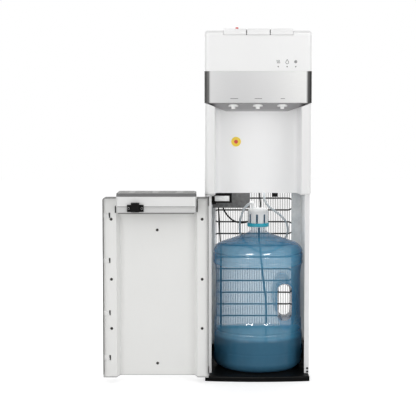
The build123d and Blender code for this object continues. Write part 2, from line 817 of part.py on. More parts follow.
with BuildPart() as cold_tank_foam:
    rod(cold_tank_x, tank_y, (tank_floor + cold_top + foam) / 2, cold_tank_radius + foam,
        cold_top + foam - tank_floor)
    rod(cold_tank_x, tank_y, (cold_bottom + cold_top) / 2, cold_tank_radius + fit,
        cold_tank_height + 2 * fit, mode=Mode.SUBTRACT)
    rod(cold_tank_x, tank_y - cold_tank_radius / 2, cold_top, silicone_radius + fit, 3 * foam,
        mode=Mode.SUBTRACT)
write(cold_tank_foam, "cold_tank_foam")

with BuildPart() as hot_tank_jacket:
    rod(hot_tank_x, tank_y, (tank_floor + hot_top) / 2, hot_tank_radius + jacket, hot_tank_height - 2 * fit)
    rod(hot_tank_x, tank_y, (tank_floor + hot_top) / 2, hot_tank_radius + fit, hot_tank_height,
        mode=Mode.SUBTRACT)
    rod(hot_tank_x, tank_y + hot_tank_radius, drain_height, drain_radius_outer + fit, 5 * jacket, "Y",
        mode=Mode.SUBTRACT)
write(hot_tank_jacket, "hot_tank_jacket")

with BuildPart() as drain_plug:
    drain_start = tank_y + hot_tank_radius + fit
    drain_end = cabinet_rear + drain_reach
    rod(hot_tank_x, (drain_start + drain_end) / 2, drain_height, drain_radius_outer,
        drain_end - drain_start, "Y")
    rod(hot_tank_x, drain_end - 5, drain_height, 2 * drain_radius_outer, 10, "Y")
write(drain_plug, "drain_plug")


def tube(route, radii, radius):
    """Round tube or hose along straight runs joined by arcs, as a part in the open builder."""
    with BuildLine() as run:
        FilletPolyline(*route, radius=radii)
    with BuildSketch(Plane(origin=run.line @ 0, z_dir=run.line % 0)) as section:
        Circle(radius)
    sweep(section.sketch, path=run.line)


tap_top = head_bottom + tap_shank_top + seat_gap
with BuildPart() as tap_tubes:
    for x, tank_x, radius, top in (
        (-tap_spacing, hot_tank_x, hot_tank_radius, hot_top),
        (tap_spacing, cold_tank_x, cold_tank_radius, cold_top),
    ):
        outlet = (tank_x, tank_y - radius / 2, top + tank_neck + seat_gap)
        crest = outlet[2] + tube_crest
        tube([(x, tap_y, tap_top), (x, tap_y, crest), (*outlet[:2], crest), outlet], 14, silicone_radius)
    tube([(0, tap_y, tap_top), (0, tap_y, tap_top + ambient_run), (0, ambient_y, tap_top + ambient_run),
          (0, ambient_y, shelf_top + ambient_run), (*suction_route[-1][:2], shelf_top + ambient_run),
          (*suction_route[-1][:2], shelf_bottom + fitting_height + seat_gap)], 12, silicone_radius)
write(tap_tubes, "tap_tubes")

drier_bottom = shelf_top + return_heights[0]
drier_x, drier_y = return_route[0]
drier_top = drier_bottom + drier_length
stub_top = dome_top + stub_height
capillary_bend = 26.0
suction_bend = 30.0
with BuildPart() as copper_lines:
    rod(drier_x, drier_y, drier_bottom + drier_length / 2, drier_radius, drier_length)
    fillet(copper_lines.edges().filter_by(GeomType.CIRCLE), radius=drier_radius / 2)
    tube([(drier_x, drier_y, drier_top), (drier_x, drier_y, drier_top + capillary_bend),
          (line_high_x, drier_y, drier_top + capillary_bend),
          (line_high_x, drier_y, tank_shelf_bottom - 20), (line_high_x, line_y, tank_shelf_bottom - 20),
          (line_high_x, line_y, tank_floor - seat_gap)], line_corner, capillary_radius)
    tube([(suction_x, stub_y, stub_top), (suction_x, stub_y, stub_top + suction_bend),
          (line_low_x, line_y, stub_top + suction_bend), (line_low_x, line_y, tank_floor - seat_gap)],
         line_corner, suction_line_radius)
    tube([(discharge_x, stub_y, stub_top), (discharge_x, stub_y, discharge_height),
          (discharge_exit_x, stub_y, discharge_height), (discharge_exit_x, condenser_y, discharge_height),
          (discharge_exit_x, condenser_y, rows[-1]), (return_join_x, condenser_y, rows[-1])],
         line_corner - 2, tube_radius)
write(copper_lines, "copper_lines")

# ------------------------------------------------------------------ condenser
bend = row_pitch / 2
turn_x = run_half + bend
with BuildPart() as condenser_tube:
    winding = [(return_join_x, condenser_y, rows[-1])]
    for index in range(row_count - 1, 0, -1):
        side = 1 if index % 2 else -1
        winding += [(side * turn_x, condenser_y, rows[index]), (side * turn_x, condenser_y, rows[index - 1])]
    winding.append((return_join_x, condenser_y, rows[0]))
    tube(winding, bend - 0.05, tube_radius)
write(condenser_tube, "condenser_tube")

with BuildPart() as return_line:
    low_x, low_y = return_route[-1]
    heights = (drier_bottom, *return_heights[1:])
    rising = [(x, y, z) for (x, y), z in zip(return_route, heights)]
    tube([(return_join_x, condenser_y, rows[0]), (low_x, condenser_y, rows[0]),
          (low_x, condenser_y, return_low), (low_x, low_y, return_low)] + rising[::-1],
         [line_corner - 2] * 3 + [return_easing, return_easing], tube_radius)
write(return_line, "return_line")

wire_offset = tube_radius + wire_radius
wire_low = rows[0] - wire_overhang
wire_high = rows[-1] + wire_overhang
wire_count = int(2 * wire_half / wire_pitch) + 1
with BuildPart() as condenser_wires:
    for index in range(wire_count):
        x = (index - (wire_count - 1) / 2) * wire_pitch
        for y in (condenser_y - wire_offset, condenser_y + wire_offset):
            rod(x, y, (wire_low + wire_high) / 2, wire_radius, wire_high - wire_low)
write(condenser_wires, "condenser_wires")

with BuildPart() as condenser_brackets:
    high_gap = row_count - 2
    for side, gap_index, seat in ((1, 2, 0), (-1, 1, 0), (1, high_gap, sheet), (-1, high_gap - 1, sheet)):
        z = rows[0] + (gap_index + 0.5) * row_pitch
        slab(side * (turn_x - 6), side * (half_width - 7), cabinet_rear + seat, cabinet_rear + seat + 1.2,
             z - 8, z + 8)
        slab(side * (turn_x - 3), side * (turn_x + 3), cabinet_rear + seat, condenser_y - tube_radius - 0.1,
             z - 4, z + 4)
write(condenser_brackets, "condenser_brackets")

# ------------------------------------------------------------------ switches and inlet on the rear cover
rocker_y = cabinet_rear - 2
rocker_width = switch_size[0] - 2 * sleeve_wall - 0.8
rocker_height = switch_size[1] - 2 * sleeve_wall - 2.4
with BuildPart() as switch_frames:
    for x in (-switch_x, switch_x):
        half_x, half_z = switch_size[0] / 2, switch_size[1] / 2
        slab(x - half_x - switch_rim, x + half_x + switch_rim, cabinet_rear + sheet,
             cabinet_rear + sheet + 1.5, switch_height - half_z - switch_rim,
             switch_height + half_z + switch_rim)
        slab(x - half_x + 0.1, x + half_x - 0.1, cabinet_rear - switch_depth, cabinet_rear + sheet,
             switch_height - half_z + 0.1, switch_height + half_z - 0.1)
        slab(x - half_x + sleeve_wall, x + half_x - sleeve_wall, cabinet_rear - switch_depth + sleeve_wall,
             cabinet_rear + 5, switch_height - half_z + sleeve_wall, switch_height + half_z - sleeve_wall,
             mode=Mode.SUBTRACT)
        rod(x, rocker_y, switch_height, rocker_pin, switch_size[0] - 0.2, "X")
write(switch_frames, "switch_frames")


def rocker(x):
    """Rocker tipped to its off side on the frame's cross pin."""
    level = Plane(origin=(x, rocker_y, switch_height), x_dir=(1, 0, 0), z_dir=(0, 0, 1))
    with BuildPart(level.rotated((rocker_tilt, 0, 0))) as key_cap:
        slab(-rocker_width / 2, rocker_width / 2, -6, 5.5, -rocker_height / 2, rocker_height / 2)
        fillet(key_cap.edges().filter_by(Axis.X), radius=1)
        rod(0, 0, 0, rocker_pin + running, rocker_width + 2, "X", mode=Mode.SUBTRACT)
    return key_cap


write(rocker(-switch_x), "hot_switch")
write(rocker(switch_x), "cold_switch")

with BuildPart() as power_inlet:
    half_x, half_z = inlet_size[0] / 2, inlet_size[1] / 2
    socket_floor = cabinet_rear - inlet_depth + 3
    slab(inlet_x - half_x + 0.2, inlet_x + half_x - 0.2, cabinet_rear - inlet_depth, cabinet_rear + sheet,
         switch_height - half_z + 0.2, switch_height + half_z - 0.2)
    slab(inlet_x - half_x - inlet_rim, inlet_x + half_x + inlet_rim, cabinet_rear + sheet,
         cabinet_rear + sheet + 2, switch_height - half_z - inlet_rim, switch_height + half_z + inlet_rim)
    slab(inlet_x - half_x + 2, inlet_x + half_x - 2, socket_floor, cabinet_rear + 6,
         switch_height - half_z + 2, switch_height + half_z - 2, mode=Mode.SUBTRACT)
    for dx, dz in ((-7, -2), (7, -2), (0, 3)):
        slab(inlet_x + dx - 1, inlet_x + dx + 1, socket_floor, cabinet_rear - 1, switch_height + dz - 2.5,
             switch_height + dz + 2.5)
write(power_inlet, "power_inlet")

# ------------------------------------------------------------------ what hangs in the top of the bottle bay
plate_low_x = plate_inset - inner_half
plate_high_x = plate_low_x + plate_width
with BuildPart() as pump_bracket:
    slab(plate_low_x, plate_high_x, plate_front, plate_front + 2 * sheet, shelf_bottom - plate_drop,
         shelf_bottom)
    slab(plate_low_x, plate_high_x, plate_front, plate_front + plate_flange, shelf_bottom - shelf,
         shelf_bottom)
write(pump_bracket, "pump_bracket")

pump_x, pump_back = drain_route[0][:2]
pump_bottom = shelf_bottom - pump_drop
pump_top = shelf_bottom - pump_hang
with BuildPart() as water_pump:
    slab(pump_x - 6, pump_x - 6 + pump_length, plate_front + 2 * sheet, pump_back + 12, pump_bottom, pump_top)
    rod(pump_x + 24, pump_back + 10 + motor_length / 2, (pump_bottom + pump_top) / 2, motor_radius,
        motor_length, "Y")
    rod(pump_x, pump_back, pump_bottom - stub_proud + stub_length / 2, drain_radius + 0.8, stub_length)
write(water_pump, "water_pump")

box_low_x = box_inset - inner_half
box_high_x = box_low_x + box_width
window_top = shelf_bottom - window_drop
window = (box_low_x + window_inset, box_high_x - window_edge, window_top - window_height, window_top)
with BuildPart() as control_box:
    slab(box_low_x, box_high_x, box_front, box_back, shelf_bottom - box_drop, shelf_bottom)
    slab(window[0], window[1], box_front - 1, box_front + 2.5, window[2], window[3], mode=Mode.SUBTRACT)
    slab(box_low_x + 3, box_low_x + 15, box_front, box_front + 3, shelf_bottom - box_drop - 5,
         shelf_bottom - box_drop)
write(control_box, "control_box")

with BuildPart() as box_plate:
    slab(window[0] + 0.1, window[1] - 0.1, box_front + 1, box_front + 2.5, window[2] + 0.1, window[3] - 0.1)
write(box_plate, "box_plate")

with BuildPart() as shelf_fittings:
    for route in (suction_route, drain_route):
        x, y = route[-1][:2]
        rod(x, y, shelf_bottom + fitting_height / 2, fitting_radius, fitting_height)
        rod(x, y, shelf_top + 1, fitting_radius + 1.4, 2)
write(shelf_fittings, "shelf_fittings")

with BuildPart() as drain_hose:
    tube(drain_route, bend_radii(drain_route), drain_radius)
write(drain_hose, "drain_hose")

with BuildPart() as suction_hose:
    tube(suction_route, bend_radii(suction_route), suction_radius)
write(suction_hose, "suction_hose")

for hose_name, route in (("drain hose", drain_route), ("suction hose", suction_route)):
    print(hose_name, "bend radii:", [round(radius) for radius in bend_radii(route)])

with BuildPart() as top_hinge_bracket:
    slab(hinge_x - 4, hinge_x + 21, hinge_y - 12, flange_front, alcove_bottom - hinge_plate, alcove_bottom)
    slab(hinge_x - 4, hinge_x + 8, flange_front - 1.5, flange_front, alcove_bottom - 24, alcove_bottom)
    fillet(top_hinge_bracket.edges().filter_by(Axis.Z).group_by(Axis.Y)[0], radius=4)
    rod(hinge_x, hinge_y, alcove_bottom, hinge_pin_radius + running, 4 * hinge_plate, mode=Mode.SUBTRACT)
write(top_hinge_bracket, "top_hinge_bracket")

latch_x = hinge_x + latch_u
with BuildPart() as latch_keeper:
    slab(latch_x - tongue_width / 2 - 2, latch_x + tongue_width / 2 + 2, recess_back + wall,
         recess_back + wall + 2, alcove_bottom - keeper_reach, shelf_bottom - fit)
write(latch_keeper, "latch_keeper")

# ------------------------------------------------------------------ door
with BuildPart(door_plane) as door_skin:
    with BuildSketch(door_plane.offset(door_bottom)):
        with BuildLine():
            FilletPolyline((door_low, door_back), (door_low, door_front), (door_high, door_front),
                           (door_high, door_back), radius=door_corner)
            Line((door_high, door_back), (door_low, door_back))
        make_face()
    extrude(amount=door_height)
    upper_edges = door_skin.edges().group_by(Axis.Z)[-1]
    fillet(upper_edges.filter_by(GeomType.LINE).filter_by(Axis.Y), radius=door_corner)
    slab(door_low + skin, door_high - skin, door_front + skin, door_back + 1, door_bottom + skin,
         door_top - skin, mode=Mode.SUBTRACT)
    with BuildSketch(door_plane.offset(door_bottom - 1)):
        with BuildLine():
            Polyline((strip_low, door_back + 1), (strip_low, strip_lift),
                     (strip_low + liner_slope, liner_floor), (strip_high - liner_slope, liner_floor),
                     (strip_high, strip_lift), (strip_high, door_back + 1), close=True)
        make_face()
    extrude(amount=skin + fit + 1, mode=Mode.SUBTRACT)
    boss_length = 1.2 * hinge_pin_grip
    for low, high in ((door_bottom, door_bottom + boss_length), (door_top - boss_length, door_top)):
        rod(0, 0, (low + high) / 2, hinge_boss, high - low)
        slab(0, -door_side + 1, -hinge_boss, hinge_boss, low, high)
        rod(0, 0, (low + high) / 2, hinge_pin_radius + running, 2 * hinge_pin_grip, mode=Mode.SUBTRACT)
    post_foot = door_front + skin
    post_top = strip_lift - liner
    for u, z in screw_places:
        rod(u, (post_foot + post_top) / 2, z, screw_post, post_top - post_foot, "Y")
        rod(u, post_top, z, screw_radius + running, 24, "Y", mode=Mode.SUBTRACT)
    post_top = liner_floor - liner
    for z in middle_screw_heights:
        rod(middle_screw_u, (post_foot + post_top) / 2, z, screw_post, post_top - post_foot, "Y")
        rod(middle_screw_u, post_top, z, screw_radius + running, 14, "Y", mode=Mode.SUBTRACT)
write(door_skin, "door_skin")

edge_low = door_low + skin + fit
edge_high = door_high - skin - fit
holder_bottom = tray_bottom
with BuildPart(door_plane) as door_liner:
    with BuildSketch(door_plane.offset(door_bottom + skin + fit)):
        with BuildLine():
            Polyline((edge_low, strip_lift - 12), (edge_low, strip_lift), (strip_low, strip_lift),
                     (strip_low + liner_slope, liner_floor), (strip_high - liner_slope, liner_floor),
                     (strip_high, strip_lift), (edge_high, strip_lift), (edge_high, strip_lift - 12))
            offset(amount=liner, side=Side.RIGHT, kind=Kind.INTERSECTION)
        make_face()
    extrude(amount=door_height - 2 * skin - 2 * fit)
    slab(tray_low - fit, tray_high + fit, liner_floor + 0.01, strip_lift + 5, holder_bottom - fit, door_top,
         mode=Mode.SUBTRACT)
    tab_u = edge_high - tab_inset
    for z in tab_heights:
        slab(tab_u - tab_width / 2, tab_u + tab_width / 2, strip_lift - liner, strip_lift + tab_proud,
             z - tab_height / 2, z + tab_height / 2)
        slab(tab_u - 1 - tab_slot, tab_u - 1, strip_lift - 2 * liner, strip_lift + 2,
             z - tab_height / 2, z + tab_height / 2, mode=Mode.SUBTRACT)
    for rise in (hinge_pin_grip * 0.6, door_height - hinge_pin_grip * 0.6):
        rod(0, 0, door_bottom + rise, hinge_boss + fit, 1.2 * hinge_pin_grip + 2 * fit, mode=Mode.SUBTRACT)
    for u, z in screw_places:
        rod(u, strip_lift, z, screw_radius + 0.2, 4 * liner, "Y", mode=Mode.SUBTRACT)
    for z in middle_screw_heights:
        rod(middle_screw_u, liner_floor, z, screw_radius + 0.2, 4 * liner, "Y", mode=Mode.SUBTRACT)
write(door_liner, "door_liner")


def liner_screw(u, seat, z, length):
    """Pan-head screw seen on the liner."""
    rod(u, seat + screw_head / 4, z, screw_head, screw_head / 2, "Y")
    rod(u, seat - length / 2, z, screw_radius, length, "Y")


with BuildPart(door_plane) as door_screws:
    for u, z in screw_places:
        liner_screw(u, strip_lift, z, 12)
    for z in middle_screw_heights:
        liner_screw(middle_screw_u, liner_floor, z, 7)
write(door_screws, "door_screws")

with BuildPart(door_plane) as door_pins:
    for low, high in ((4, door_bottom + hinge_pin_grip), (door_top - hinge_pin_grip, alcove_bottom - 0.5)):
        rod(0, 0, (low + high) / 2, hinge_pin_radius, high - low)
write(door_pins, "door_pins")

# ------------------------------------------------------------------ drip tray, its holder and the latch
rim_seat = rim_bottom + seat_gap
cavity_front = door_back + 3
with BuildPart(door_plane) as tray_holder:
    slab(tray_low, tray_high, liner_floor + 0.5, tray_reach, holder_bottom, rim_bottom)
    fillet(tray_holder.edges().filter_by(Axis.Z).group_by(Axis.Y)[0], radius=door_corner)
    fillet(tray_holder.edges().group_by(Axis.Z)[0].sort_by(Axis.Y)[0], radius=4)
    slab(tray_low, tray_high, door_front + 1, door_back + fit, door_top, rim_bottom)
    slab(tray_low - 1, tray_high + 1, door_front, door_back + fit, door_top - skin - fit, door_top,
         mode=Mode.SUBTRACT)
    slab(tray_low + holder_wall, tray_high - holder_wall, liner_floor, cavity_front - holder_wall,
         holder_bottom + holder_wall, door_top - skin - fit - holder_wall, mode=Mode.SUBTRACT)
    slab(tray_low + holder_wall, tray_high - holder_wall, cavity_front, tray_reach - holder_wall,
         holder_bottom + 4, rim_bottom + 1, mode=Mode.SUBTRACT)
    slab(tray_low - 1, tray_high + 1, tray_reach - 0.8, tray_reach + 1, holder_bottom + 14,
         holder_bottom + 15, mode=Mode.SUBTRACT)
write(tray_holder, "tray_holder")

rim_low = tray_low + 1
rim_high = tray_high - 1
lip = rim_wall + fit
with BuildPart(door_plane) as drip_tray:
    slab(rim_low, rim_high, door_front, tray_reach, rim_seat, rim_top)
    fillet(drip_tray.edges().filter_by(Axis.Z).group_by(Axis.Y)[0], radius=door_corner)
    slab(rim_low + holder_wall + fit, rim_high - holder_wall - fit, cavity_front + fit + 1,
         tray_reach - holder_wall - 1, holder_bottom + 6, rim_seat)
    slab(rim_low + rim_wall, rim_high - rim_wall, door_front + rim_wall, tray_reach - rim_wall,
         rim_top - grille_seat, rim_top + 1, mode=Mode.SUBTRACT)
    slab(rim_low + 3 * rim_wall, rim_high - 3 * rim_wall, door_front + 3 * rim_wall,
         tray_reach - 3 * rim_wall, rim_seat + rim_wall, rim_top, mode=Mode.SUBTRACT)
    slab(rim_low + holder_wall + fit + basin_wall, rim_high - holder_wall - fit - basin_wall,
         cavity_front + fit + 1 + basin_wall, tray_reach - holder_wall - 1 - basin_wall,
         holder_bottom + 6 + basin_wall, rim_top, mode=Mode.SUBTRACT)
write(drip_tray, "drip_tray")

grille_bottom = rim_top - grille_seat + seat_gap
grille_low_v = door_front + lip
grille_high_v = tray_reach - lip
grille_low = rim_low + lip
grille_high = rim_high - lip
bar_places = [(grille_low + grille_high) / 2 + place for place in slot_bars]
slot_lows = [grille_low + slot_margin] + [u + slot_bar / 2 for u in bar_places]
slot_highs = [u - slot_bar / 2 for u in bar_places] + [grille_high - slot_margin]
with BuildPart(door_plane) as drip_grille:
    slab(grille_low, grille_high, grille_low_v, grille_high_v, grille_bottom,
         grille_bottom + grille_thickness)
    fillet(drip_grille.edges().filter_by(Axis.Z), radius=3)
    with BuildSketch(door_plane.offset(grille_bottom)):
        for low, high in zip(slot_lows, slot_highs):
            with Locations(((low + high) / 2, (grille_low_v + grille_high_v) / 2)):
                with GridLocations(1, slot_pitch, 1, slot_rows):
                    SlotOverall(high - low, slot_width)
    extrude(amount=grille_thickness, mode=Mode.SUBTRACT)
write(drip_grille, "drip_grille")

latch_low = holder_bottom + 3.5
tongue_front = tray_reach + latch_depth - 2.5 - tongue_depth
with BuildPart(door_plane) as latch_body:
    slab(latch_u - latch_lug_width / 2, latch_u + latch_lug_width / 2, tray_reach, tray_reach + 4,
         latch_low, latch_low + latch_lug_height)
    slab(latch_u - latch_width / 2, latch_u + latch_width / 2, tray_reach, tray_reach + latch_depth,
         latch_low, latch_low + latch_height)
    fillet(latch_body.edges().filter_by(Axis.Z).group_by(Axis.Y)[0], radius=2)
    slab(latch_u - tongue_width / 2 - 0.2, latch_u + tongue_width / 2 + 0.2, tongue_front - 0.2,
         tongue_front + tongue_depth + 0.2, latch_low + 3, latch_low + latch_height + 1, mode=Mode.SUBTRACT)
    for u in (latch_u - latch_lug_width / 2 + 5, latch_u + latch_lug_width / 2 - 5):
        rod(u, tray_reach + 4, latch_low + latch_lug_height / 2, 2.4, 3, "Y", mode=Mode.SUBTRACT)
write(latch_body, "latch_body")

with BuildPart(door_plane) as latch_plunger:
    slab(latch_u - tongue_width / 2, latch_u + tongue_width / 2, tongue_front, tongue_front + tongue_depth,
         latch_low + 3 + fit, latch_low + latch_height + 0.8)
    fillet(latch_plunger.edges().group_by(Axis.Z)[-1].filter_by(Axis.X), radius=1.5)
write(latch_plunger, "latch_plunger")

# ------------------------------------------------------------------ bottle, cap and probe
bottle_axis = Plane(origin=(bottle_x, bottle_y, 0), x_dir=(1, 0, 0), z_dir=(0, -1, 0))
mouth_low = bottle_top - mouth_height
bottle_profile = [
    (0, bottle_floor),
    (bottle_radius, bottle_floor),
    (bottle_radius, bottle_floor + body_rise),
    (waist_radius + rib_swell, bottle_floor + grip_rise),
    (waist_radius, bottle_floor + waist_low),
    (waist_radius, bottle_floor + waist_high),
    (waist_radius + rib_swell, bottle_floor + rib_low),
    (waist_radius + rib_swell, bottle_floor + rib_high),
    (bottle_radius, bottle_floor + body_high),
    (bottle_radius, bottle_floor + shoulder_rise),
    (shoulder_radius, bottle_floor + shoulder_rise + shoulder_lift),
    (throat_radius, bottle_floor + shoulder_rise + throat_lift),
    (neck_radius, bottle_floor + neck_start),
    (neck_radius, mouth_low - 4),
]


def bottle_section():
    """Right half of the bottle's outline, up to the step under its mouth."""
    with BuildLine() as outline:
        FilletPolyline(*bottle_profile, radius=bottle_roundings)
        Polyline((neck_radius, mouth_low - 4), (0, mouth_low - 4), (0, bottle_floor))
    make_face(outline.edges())


def handle_opening(grow):
    """Outline of the hand hole, grown by the wall on all sides."""
    with Locations((handle_x, bottle_floor + handle_rise)):
        RectangleRounded(handle_width + 2 * grow, handle_height + 2 * grow, handle_corner + grow)


with BuildPart() as bottle_inside:
    with BuildSketch(bottle_axis) as inner_section:
        bottle_section()
        mirror(about=Plane.YZ)
        offset(amount=-bottle_wall)
        with Locations((-bottle_radius, bottle_top / 2)):
            Rectangle(2 * bottle_radius, 2 * bottle_top, mode=Mode.SUBTRACT)
    revolve(axis=Axis((bottle_x, bottle_y, 0), (0, 0, 1)))
    with BuildSketch(bottle_axis):
        handle_opening(bottle_wall)
    extrude(amount=bottle_radius + 1, both=True, mode=Mode.SUBTRACT)

with BuildPart() as bottle:
    with BuildSketch(bottle_axis):
        bottle_section()
    revolve(axis=Axis((bottle_x, bottle_y, 0), (0, 0, 1)))
    with BuildSketch(bottle_axis):
        handle_opening(0)
    extrude(amount=bottle_radius + 1, both=True, mode=Mode.SUBTRACT)
    rod(bottle_x, bottle_y, (mouth_low - 4 + bottle_top) / 2, mouth_radius, bottle_top - mouth_low + 4)
    chamfer(bottle.edges().group_by(Axis.Z)[-1], length=1)
    add(bottle_inside.part, mode=Mode.SUBTRACT)
    rod(bottle_x, bottle_y, bottle_top, neck_radius - bottle_wall, 2 * (mouth_height + 8), mode=Mode.SUBTRACT)
write(bottle, "bottle")

hose_start = Vector(*suction_route[0])
hose_lead = (Vector(*suction_route[1]) - hose_start).normalized()
elbow_foot = hose_start - hose_lead * elbow_reach
with BuildPart() as probe_cap:
    rod(bottle_x, bottle_y, (cap_bottom + cap_top) / 2, cap_radius, cap_height)
    fillet(probe_cap.edges().group_by(Axis.Z)[-1], radius=cap_dome)
    rod(bottle_x, bottle_y, cap_bottom - 0.6, cap_radius + 1.5, 1.2)
    rod(bottle_x, bottle_y, (cap_bottom - 4 + bottle_top + seat_gap) / 2, cap_radius - cap_wall,
        bottle_top + seat_gap - cap_bottom + 4, mode=Mode.SUBTRACT)
    slot_foot = (bottle_x, bottle_y, cap_bottom + slot_rise)
    for index in range(cap_slots):
        with Locations(Location(slot_foot, (0, 0, 360 / cap_slots * index + cap_turn))):
            Box(cap_slot_width, 2 * cap_radius, slot_height, align=(Align.CENTER, Align.MAX, Align.MIN),
                mode=Mode.SUBTRACT)
    tube([(elbow_foot.X, elbow_foot.Y, cap_top - 3), tuple(elbow_foot), tuple(hose_start)], elbow_bend,
         elbow_radius)
    rod(bottle_x, bottle_y, bottle_top - 2, probe_radius + 2, 8)
write(probe_cap, "probe_cap")

with BuildPart() as probe_collar:
    collar_middle = cap_bottom + seat_gap + collar_height / 2
    rod(bottle_x, bottle_y, collar_middle, cap_radius + fit + collar_wall, collar_height)
    rod(bottle_x, bottle_y, collar_middle, cap_radius + fit, collar_height + 2, mode=Mode.SUBTRACT)
write(probe_collar, "probe_collar")

with BuildPart() as probe_tube:
    probe_top = bottle_top - 6 - seat_gap
    probe_route = [(bottle_x, bottle_y, probe_top)] + [(x, bottle_y, z) for x, z in probe_bends]
    tube(probe_route, bend_radii(probe_route), probe_radius)
    rod(probe_bends[-1][0], bottle_y, probe_bends[-1][1] - foot_length / 2, foot_radius, foot_length)
    fillet(probe_tube.edges().group_by(Axis.Z)[0], radius=3)
write(probe_tube, "probe_tube")
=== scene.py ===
"""Looks of a bottom load water cooler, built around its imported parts.

The door stands open half a turn and a handled bottle is in the bay. Lengths are in metres, in the
frame of the parts: +X right, +Y back, +Z up, origin on the floor under the middle of the cabinet.
New pieces are surfaces worked out with numpy, and every finish is a node tree on object
coordinates.
"""

import json
from math import pi, radians

import bmesh
import bpy
import numpy as np
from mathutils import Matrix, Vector


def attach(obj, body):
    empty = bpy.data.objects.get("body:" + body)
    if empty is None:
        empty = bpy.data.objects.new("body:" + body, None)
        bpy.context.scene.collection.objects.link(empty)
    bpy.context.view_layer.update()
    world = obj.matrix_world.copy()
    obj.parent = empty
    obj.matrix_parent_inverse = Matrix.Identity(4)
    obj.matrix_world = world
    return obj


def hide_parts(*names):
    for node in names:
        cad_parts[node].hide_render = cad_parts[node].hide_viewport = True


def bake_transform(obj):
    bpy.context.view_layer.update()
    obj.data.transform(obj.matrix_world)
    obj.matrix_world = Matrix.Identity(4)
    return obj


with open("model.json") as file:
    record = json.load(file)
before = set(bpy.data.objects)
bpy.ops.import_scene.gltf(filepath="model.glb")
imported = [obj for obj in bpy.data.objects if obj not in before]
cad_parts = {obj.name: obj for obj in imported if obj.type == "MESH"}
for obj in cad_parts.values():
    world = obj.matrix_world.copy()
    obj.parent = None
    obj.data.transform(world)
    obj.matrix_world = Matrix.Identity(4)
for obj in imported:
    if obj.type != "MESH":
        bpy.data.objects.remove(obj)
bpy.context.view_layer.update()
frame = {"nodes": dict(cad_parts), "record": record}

# ------------------------------------------------------------------ places taken from the part
HEAD_FRONT = -0.180
RECESS_BACK = -0.088
REAR = 0.158
FLANGE_FACE = -0.130
BOTTLE_X = 0.008
BOTTLE_Y = -0.015
BOTTLE_RADIUS = 0.137
HAND_HOLE_X = 0.0885
HAND_HOLE_Z = 0.2158
HAND_HOLE_HALF_DEPTH = 0.103
HAND_HOLE_SPAN = (-0.165, 0.135)
LAMP_X = (0.0576, 0.0833, 0.1080)
KEY_GAP_X = (-0.0340, 0.0340)
STRIP_FACE = -0.184
LINER_FACE = -0.160
HOLDER_FACE = -0.2345
HOLDER_LEFT = -0.4095
HOLDER_RIGHT = -0.1785
HOLDER_FLOOR = 0.504
LATCH_X = -0.3535

# Where a finish turns into another: each pair is the start and the end of the change
BAND_ENDS = (0.1375, 0.1450)
DOOR_FACE = (-0.1482, -0.1468)
DOOR_FOOT = (0.0300, 0.0220)
SIDE_OUTSIDE = (0.1544, 0.1548)
SIDE_FRONT = (-0.1292, -0.1297)
ALCOVE_MOUTH = (-0.1775, -0.1700)
# The painted shade of the hood fades out between these depths.
HOOD_SHADE_FADE = (-0.1200, RECESS_BACK)
HOLDER_SKIRT = (0.5216, 0.5208)
KEY_GAP = (0.0017, 0.0010)
KEY_TOP = (1.0325, 1.0300)
CAP_SLOT_DEPTH = (0.0302, 0.0296)
CAP_SLOT_FOOT = (0.4532, 0.4542)
CAP_SLOT_TOP = (0.4824, 0.4812)

SUCTION_ROUTE = [
    (-0.0160, -0.0150, 0.5140),
    (-0.0280, -0.0130, 0.5060),
    (-0.0365, -0.0060, 0.4930),
    (-0.0415, 0.0045, 0.4780),
    (-0.0450, 0.0180, 0.4620),
    (-0.0470, 0.0360, 0.4450),
    (-0.0465, 0.0600, 0.4260),
    (-0.0425, 0.0880, 0.4070),
    (-0.0325, 0.1140, 0.3860),
    (-0.0150, 0.1330, 0.3620),
    (0.0140, 0.1390, 0.3440),
    (0.0440, 0.1395, 0.3415),
    (0.0700, 0.1380, 0.3500),
    (0.0900, 0.1320, 0.3690),
    (0.1040, 0.1200, 0.3930),
    (0.1095, 0.1050, 0.4170),
    (0.1050, 0.0910, 0.4400),
    (0.0900, 0.0790, 0.4620),
    (0.0670, 0.0690, 0.4810),
    (0.0450, 0.0560, 0.4960),
    (0.0315, 0.0420, 0.5140),
    (0.0280, 0.0320, 0.5360),
    (0.0280, 0.0320, 0.5620),
]
DRAIN_ROUTE = [
    (-0.1000, 0.0840, 0.5170),
    (-0.1000, 0.0840, 0.4990),
    (-0.0945, 0.0680, 0.4820),
    (-0.0820, 0.0500, 0.4660),
    (-0.0660, 0.0460, 0.4530),
    (-0.0450, 0.0460, 0.4465),
    (-0.0220, 0.0460, 0.4495),
    (0.0000, 0.0460, 0.4630),
    (0.0140, 0.0440, 0.4820),
    (0.0185, 0.0390, 0.5040),
    (0.0145, 0.0320, 0.5320),
    (0.0145, 0.0320, 0.5620),
]
SUCTION_RADIUS = 0.0035
DRAIN_RADIUS = 0.0025


# ------------------------------------------------------------------ camera
CAMERA_PLACE = (-0.1455, -3.3403, 0.7973)
CAMERA_DIP = 3.5
SENSOR_WIDTH = 36
LENS_LENGTH = 94.256
LENS_SHIFT = -0.0742


def linked(name, data):
    """Object in the scene that holds the data."""
    made = bpy.data.objects.new(name, data)
    bpy.context.scene.collection.objects.link(made)
    return made


def aim_camera():
    """Camera in front of the door's hinge, as high as the alcove, dipped a few degrees."""
    data = bpy.data.cameras.new("camera")
    data.sensor_width = SENSOR_WIDTH
    data.lens = LENS_LENGTH
    data.shift_y = LENS_SHIFT
    camera = linked("camera", data)
    camera.location = CAMERA_PLACE
    camera.rotation_euler = (radians(90 - CAMERA_DIP), 0, 0)
    bpy.context.scene.camera = camera


aim_camera()


